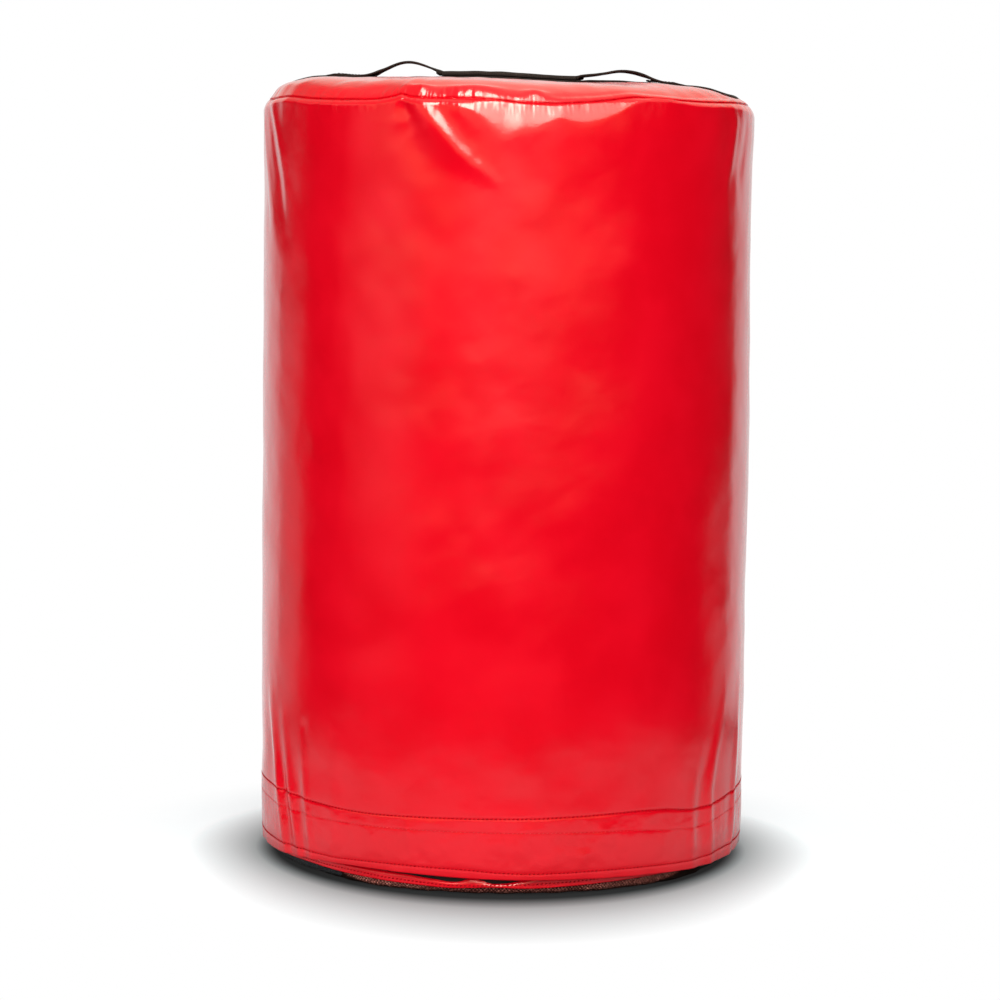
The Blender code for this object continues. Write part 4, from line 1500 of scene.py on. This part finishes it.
STRIP_SEAM = [
    (-66, 15.5), (-43, 13.6), (-31, 12.9), (-12, 9.8), (-1.5, 8.6), (8, 9.8), (18, 10.8), (28, 12.4),
    (39, 14.4), (60, 14.8), (90, 13), (140, 11), (200, 10.4), (250, 12),
]


def on_strip(angles, up):
    height = by_angle(angles, STRIP_SEAM) + up
    return around(angles, strip_radius(angles, height), height)


hem_stitches = sewn_round("hem_stitches", on_wall(HEM_ROW), 51)
closure_stitches = sewn_round("closure_stitches", on_wall(TOP_ROW), 52)
faint_stitches = sewn_round("faint_stitches", on_wall(FAINT_ROW), 53, size=0.8, sink=0.25)
strip_stitches = sewn_round("strip_stitches", on_strip, 54)
print("stitches in a row:", int(2 * np.pi * RADIUS / STITCH_PITCH))

# %% The lap seam's two rows at the back
LAP_PITCH, LAP_ROW_ASIDE = 3.5, 8.0
lap_levels = np.arange(HEM + 3, SEAM - 3, LAP_PITCH)
lap_places, lap_runs, lap_outs = [], [], []
for aside in (-LAP_ROW_ASIDE, LAP_ROW_ASIDE):
    at = np.full(len(lap_levels), LAP_AT + np.degrees(aside / RADIUS))
    here = np.concatenate([wall_loop(at, level)[:1] / MM for level in lap_levels])
    lap_places.append(here)
    lap_runs.append(np.gradient(here, axis=0))
    lap_outs.append(unit(here * (1, 1, 0)))
lap_stitches = rows_of("lap_stitches", *map(np.concatenate, (lap_places, lap_runs, lap_outs)), 55)
print("lap:", 2 * len(lap_levels), "stitches")


# %% The sewn feet of the handle
FOOT_PITCH, FOOT_BOX_HALF = 3.2, 15


def foot_rows(side):
    """A box with a cross in it, as sewing machines make on webbing."""
    end, start = FOOT_ENDS[side] - 10, PIVOT + 4
    half = FOOT_BOX_HALF
    box = [(end, half), (start, half), (start, -half), (end, -half), (end, half)]
    corners = box + [(start, -half), (start, half), (end, -half)]
    spots = []
    for (x0, y0), (x1, y1) in zip(corners, corners[1:]):
        count = max(2, round(np.hypot(x1 - x0, y1 - y0) / FOOT_PITCH))
        t = (np.arange(count) + 0.5) / count
        x, y = side * (x0 + (x1 - x0) * t), y0 + (y1 - y0) * t
        way = np.array([side * (x1 - x0), y1 - y0])
        point, out = over_lid(x, y, DECK + WEB)
        ahead, _ = over_lid(x + way[0] * 0.01, y + way[1] * 0.01, DECK + WEB)
        spots.append(np.concatenate([point, ahead - point, out], -1))
    return np.concatenate(spots)


feet = np.concatenate([foot_rows(-1), foot_rows(1)])
foot_stitches = rows_of("foot_stitches", feet[:, :3], feet[:, 3:6], feet[:, 6:], 56, sink=0.05)
bpy.data.objects.remove(stitch)
print("feet:", len(feet), "stitches")


# %% The finish of the threads
def thread_finish(name, dark, light):
    """Twisted thread, with painted shade in the grooves of its twist and a random darker tone."""
    made, paint = new_material(name)
    x, y, z = paint.place().parts()
    twist = (x + y + z).sine(0.0007) * 0.5 + 0.5
    age = paint.noise(paint.place(), 60, 2)
    # Painted shade in the twist's grooves, plus a random tone
    shade = twist * 0.6 + age * 0.6
    relief = bump(paint, twist, 0.00012)
    colour = paint.mix(shade.between(0.1, 1.0), dark, light)
    dress(paint, Base_Color=colour, Roughness=0.9, Specular_IOR_Level=0.0, Normal=relief)
    return made


maroon_thread = thread_finish("maroon_thread", (0.32, 0.0006, 0.004), (0.66, 0.001, 0.008))
red_thread = thread_finish("red_thread", (0.60, 0.004, 0.012), (0.90, 0.060, 0.060))
black_thread = thread_finish("black_thread", (0.006, 0.005, 0.005), (0.045, 0.04, 0.038))
for piece, thread, body, with_slot in (
    (hem_stitches, maroon_thread, "cover", "red_sheet"),
    (closure_stitches, maroon_thread, "cover", "red_sheet"),
    (faint_stitches, red_thread, "cover", "red_sheet"),
    (lap_stitches, maroon_thread, "cover", "red_sheet"),
    (strip_stitches, maroon_thread, "base", "red_sheet"),
    (foot_stitches, black_thread, "cover", "black_webbing"),
):
    finished(piece, thread, body)
print("all rows are sewn")

# %% [markdown]
# ## What each sheet was cut to
# The wall's cut is its way round plus the lap, and its height plus the hem and the seam's
# allowance.

# %% The cuts
print("the cuts are not declared here")

# %% The size of the dressed bag
visual_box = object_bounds()
boxes = [[list(corner) for corner in box] for box in (cad_box, visual_box)]
print("CAD box:", [round(b - a, 4) for a, b in zip(*boxes[0])])
print("visual box:", [round(b - a, 4) for a, b in zip(*boxes[1])])
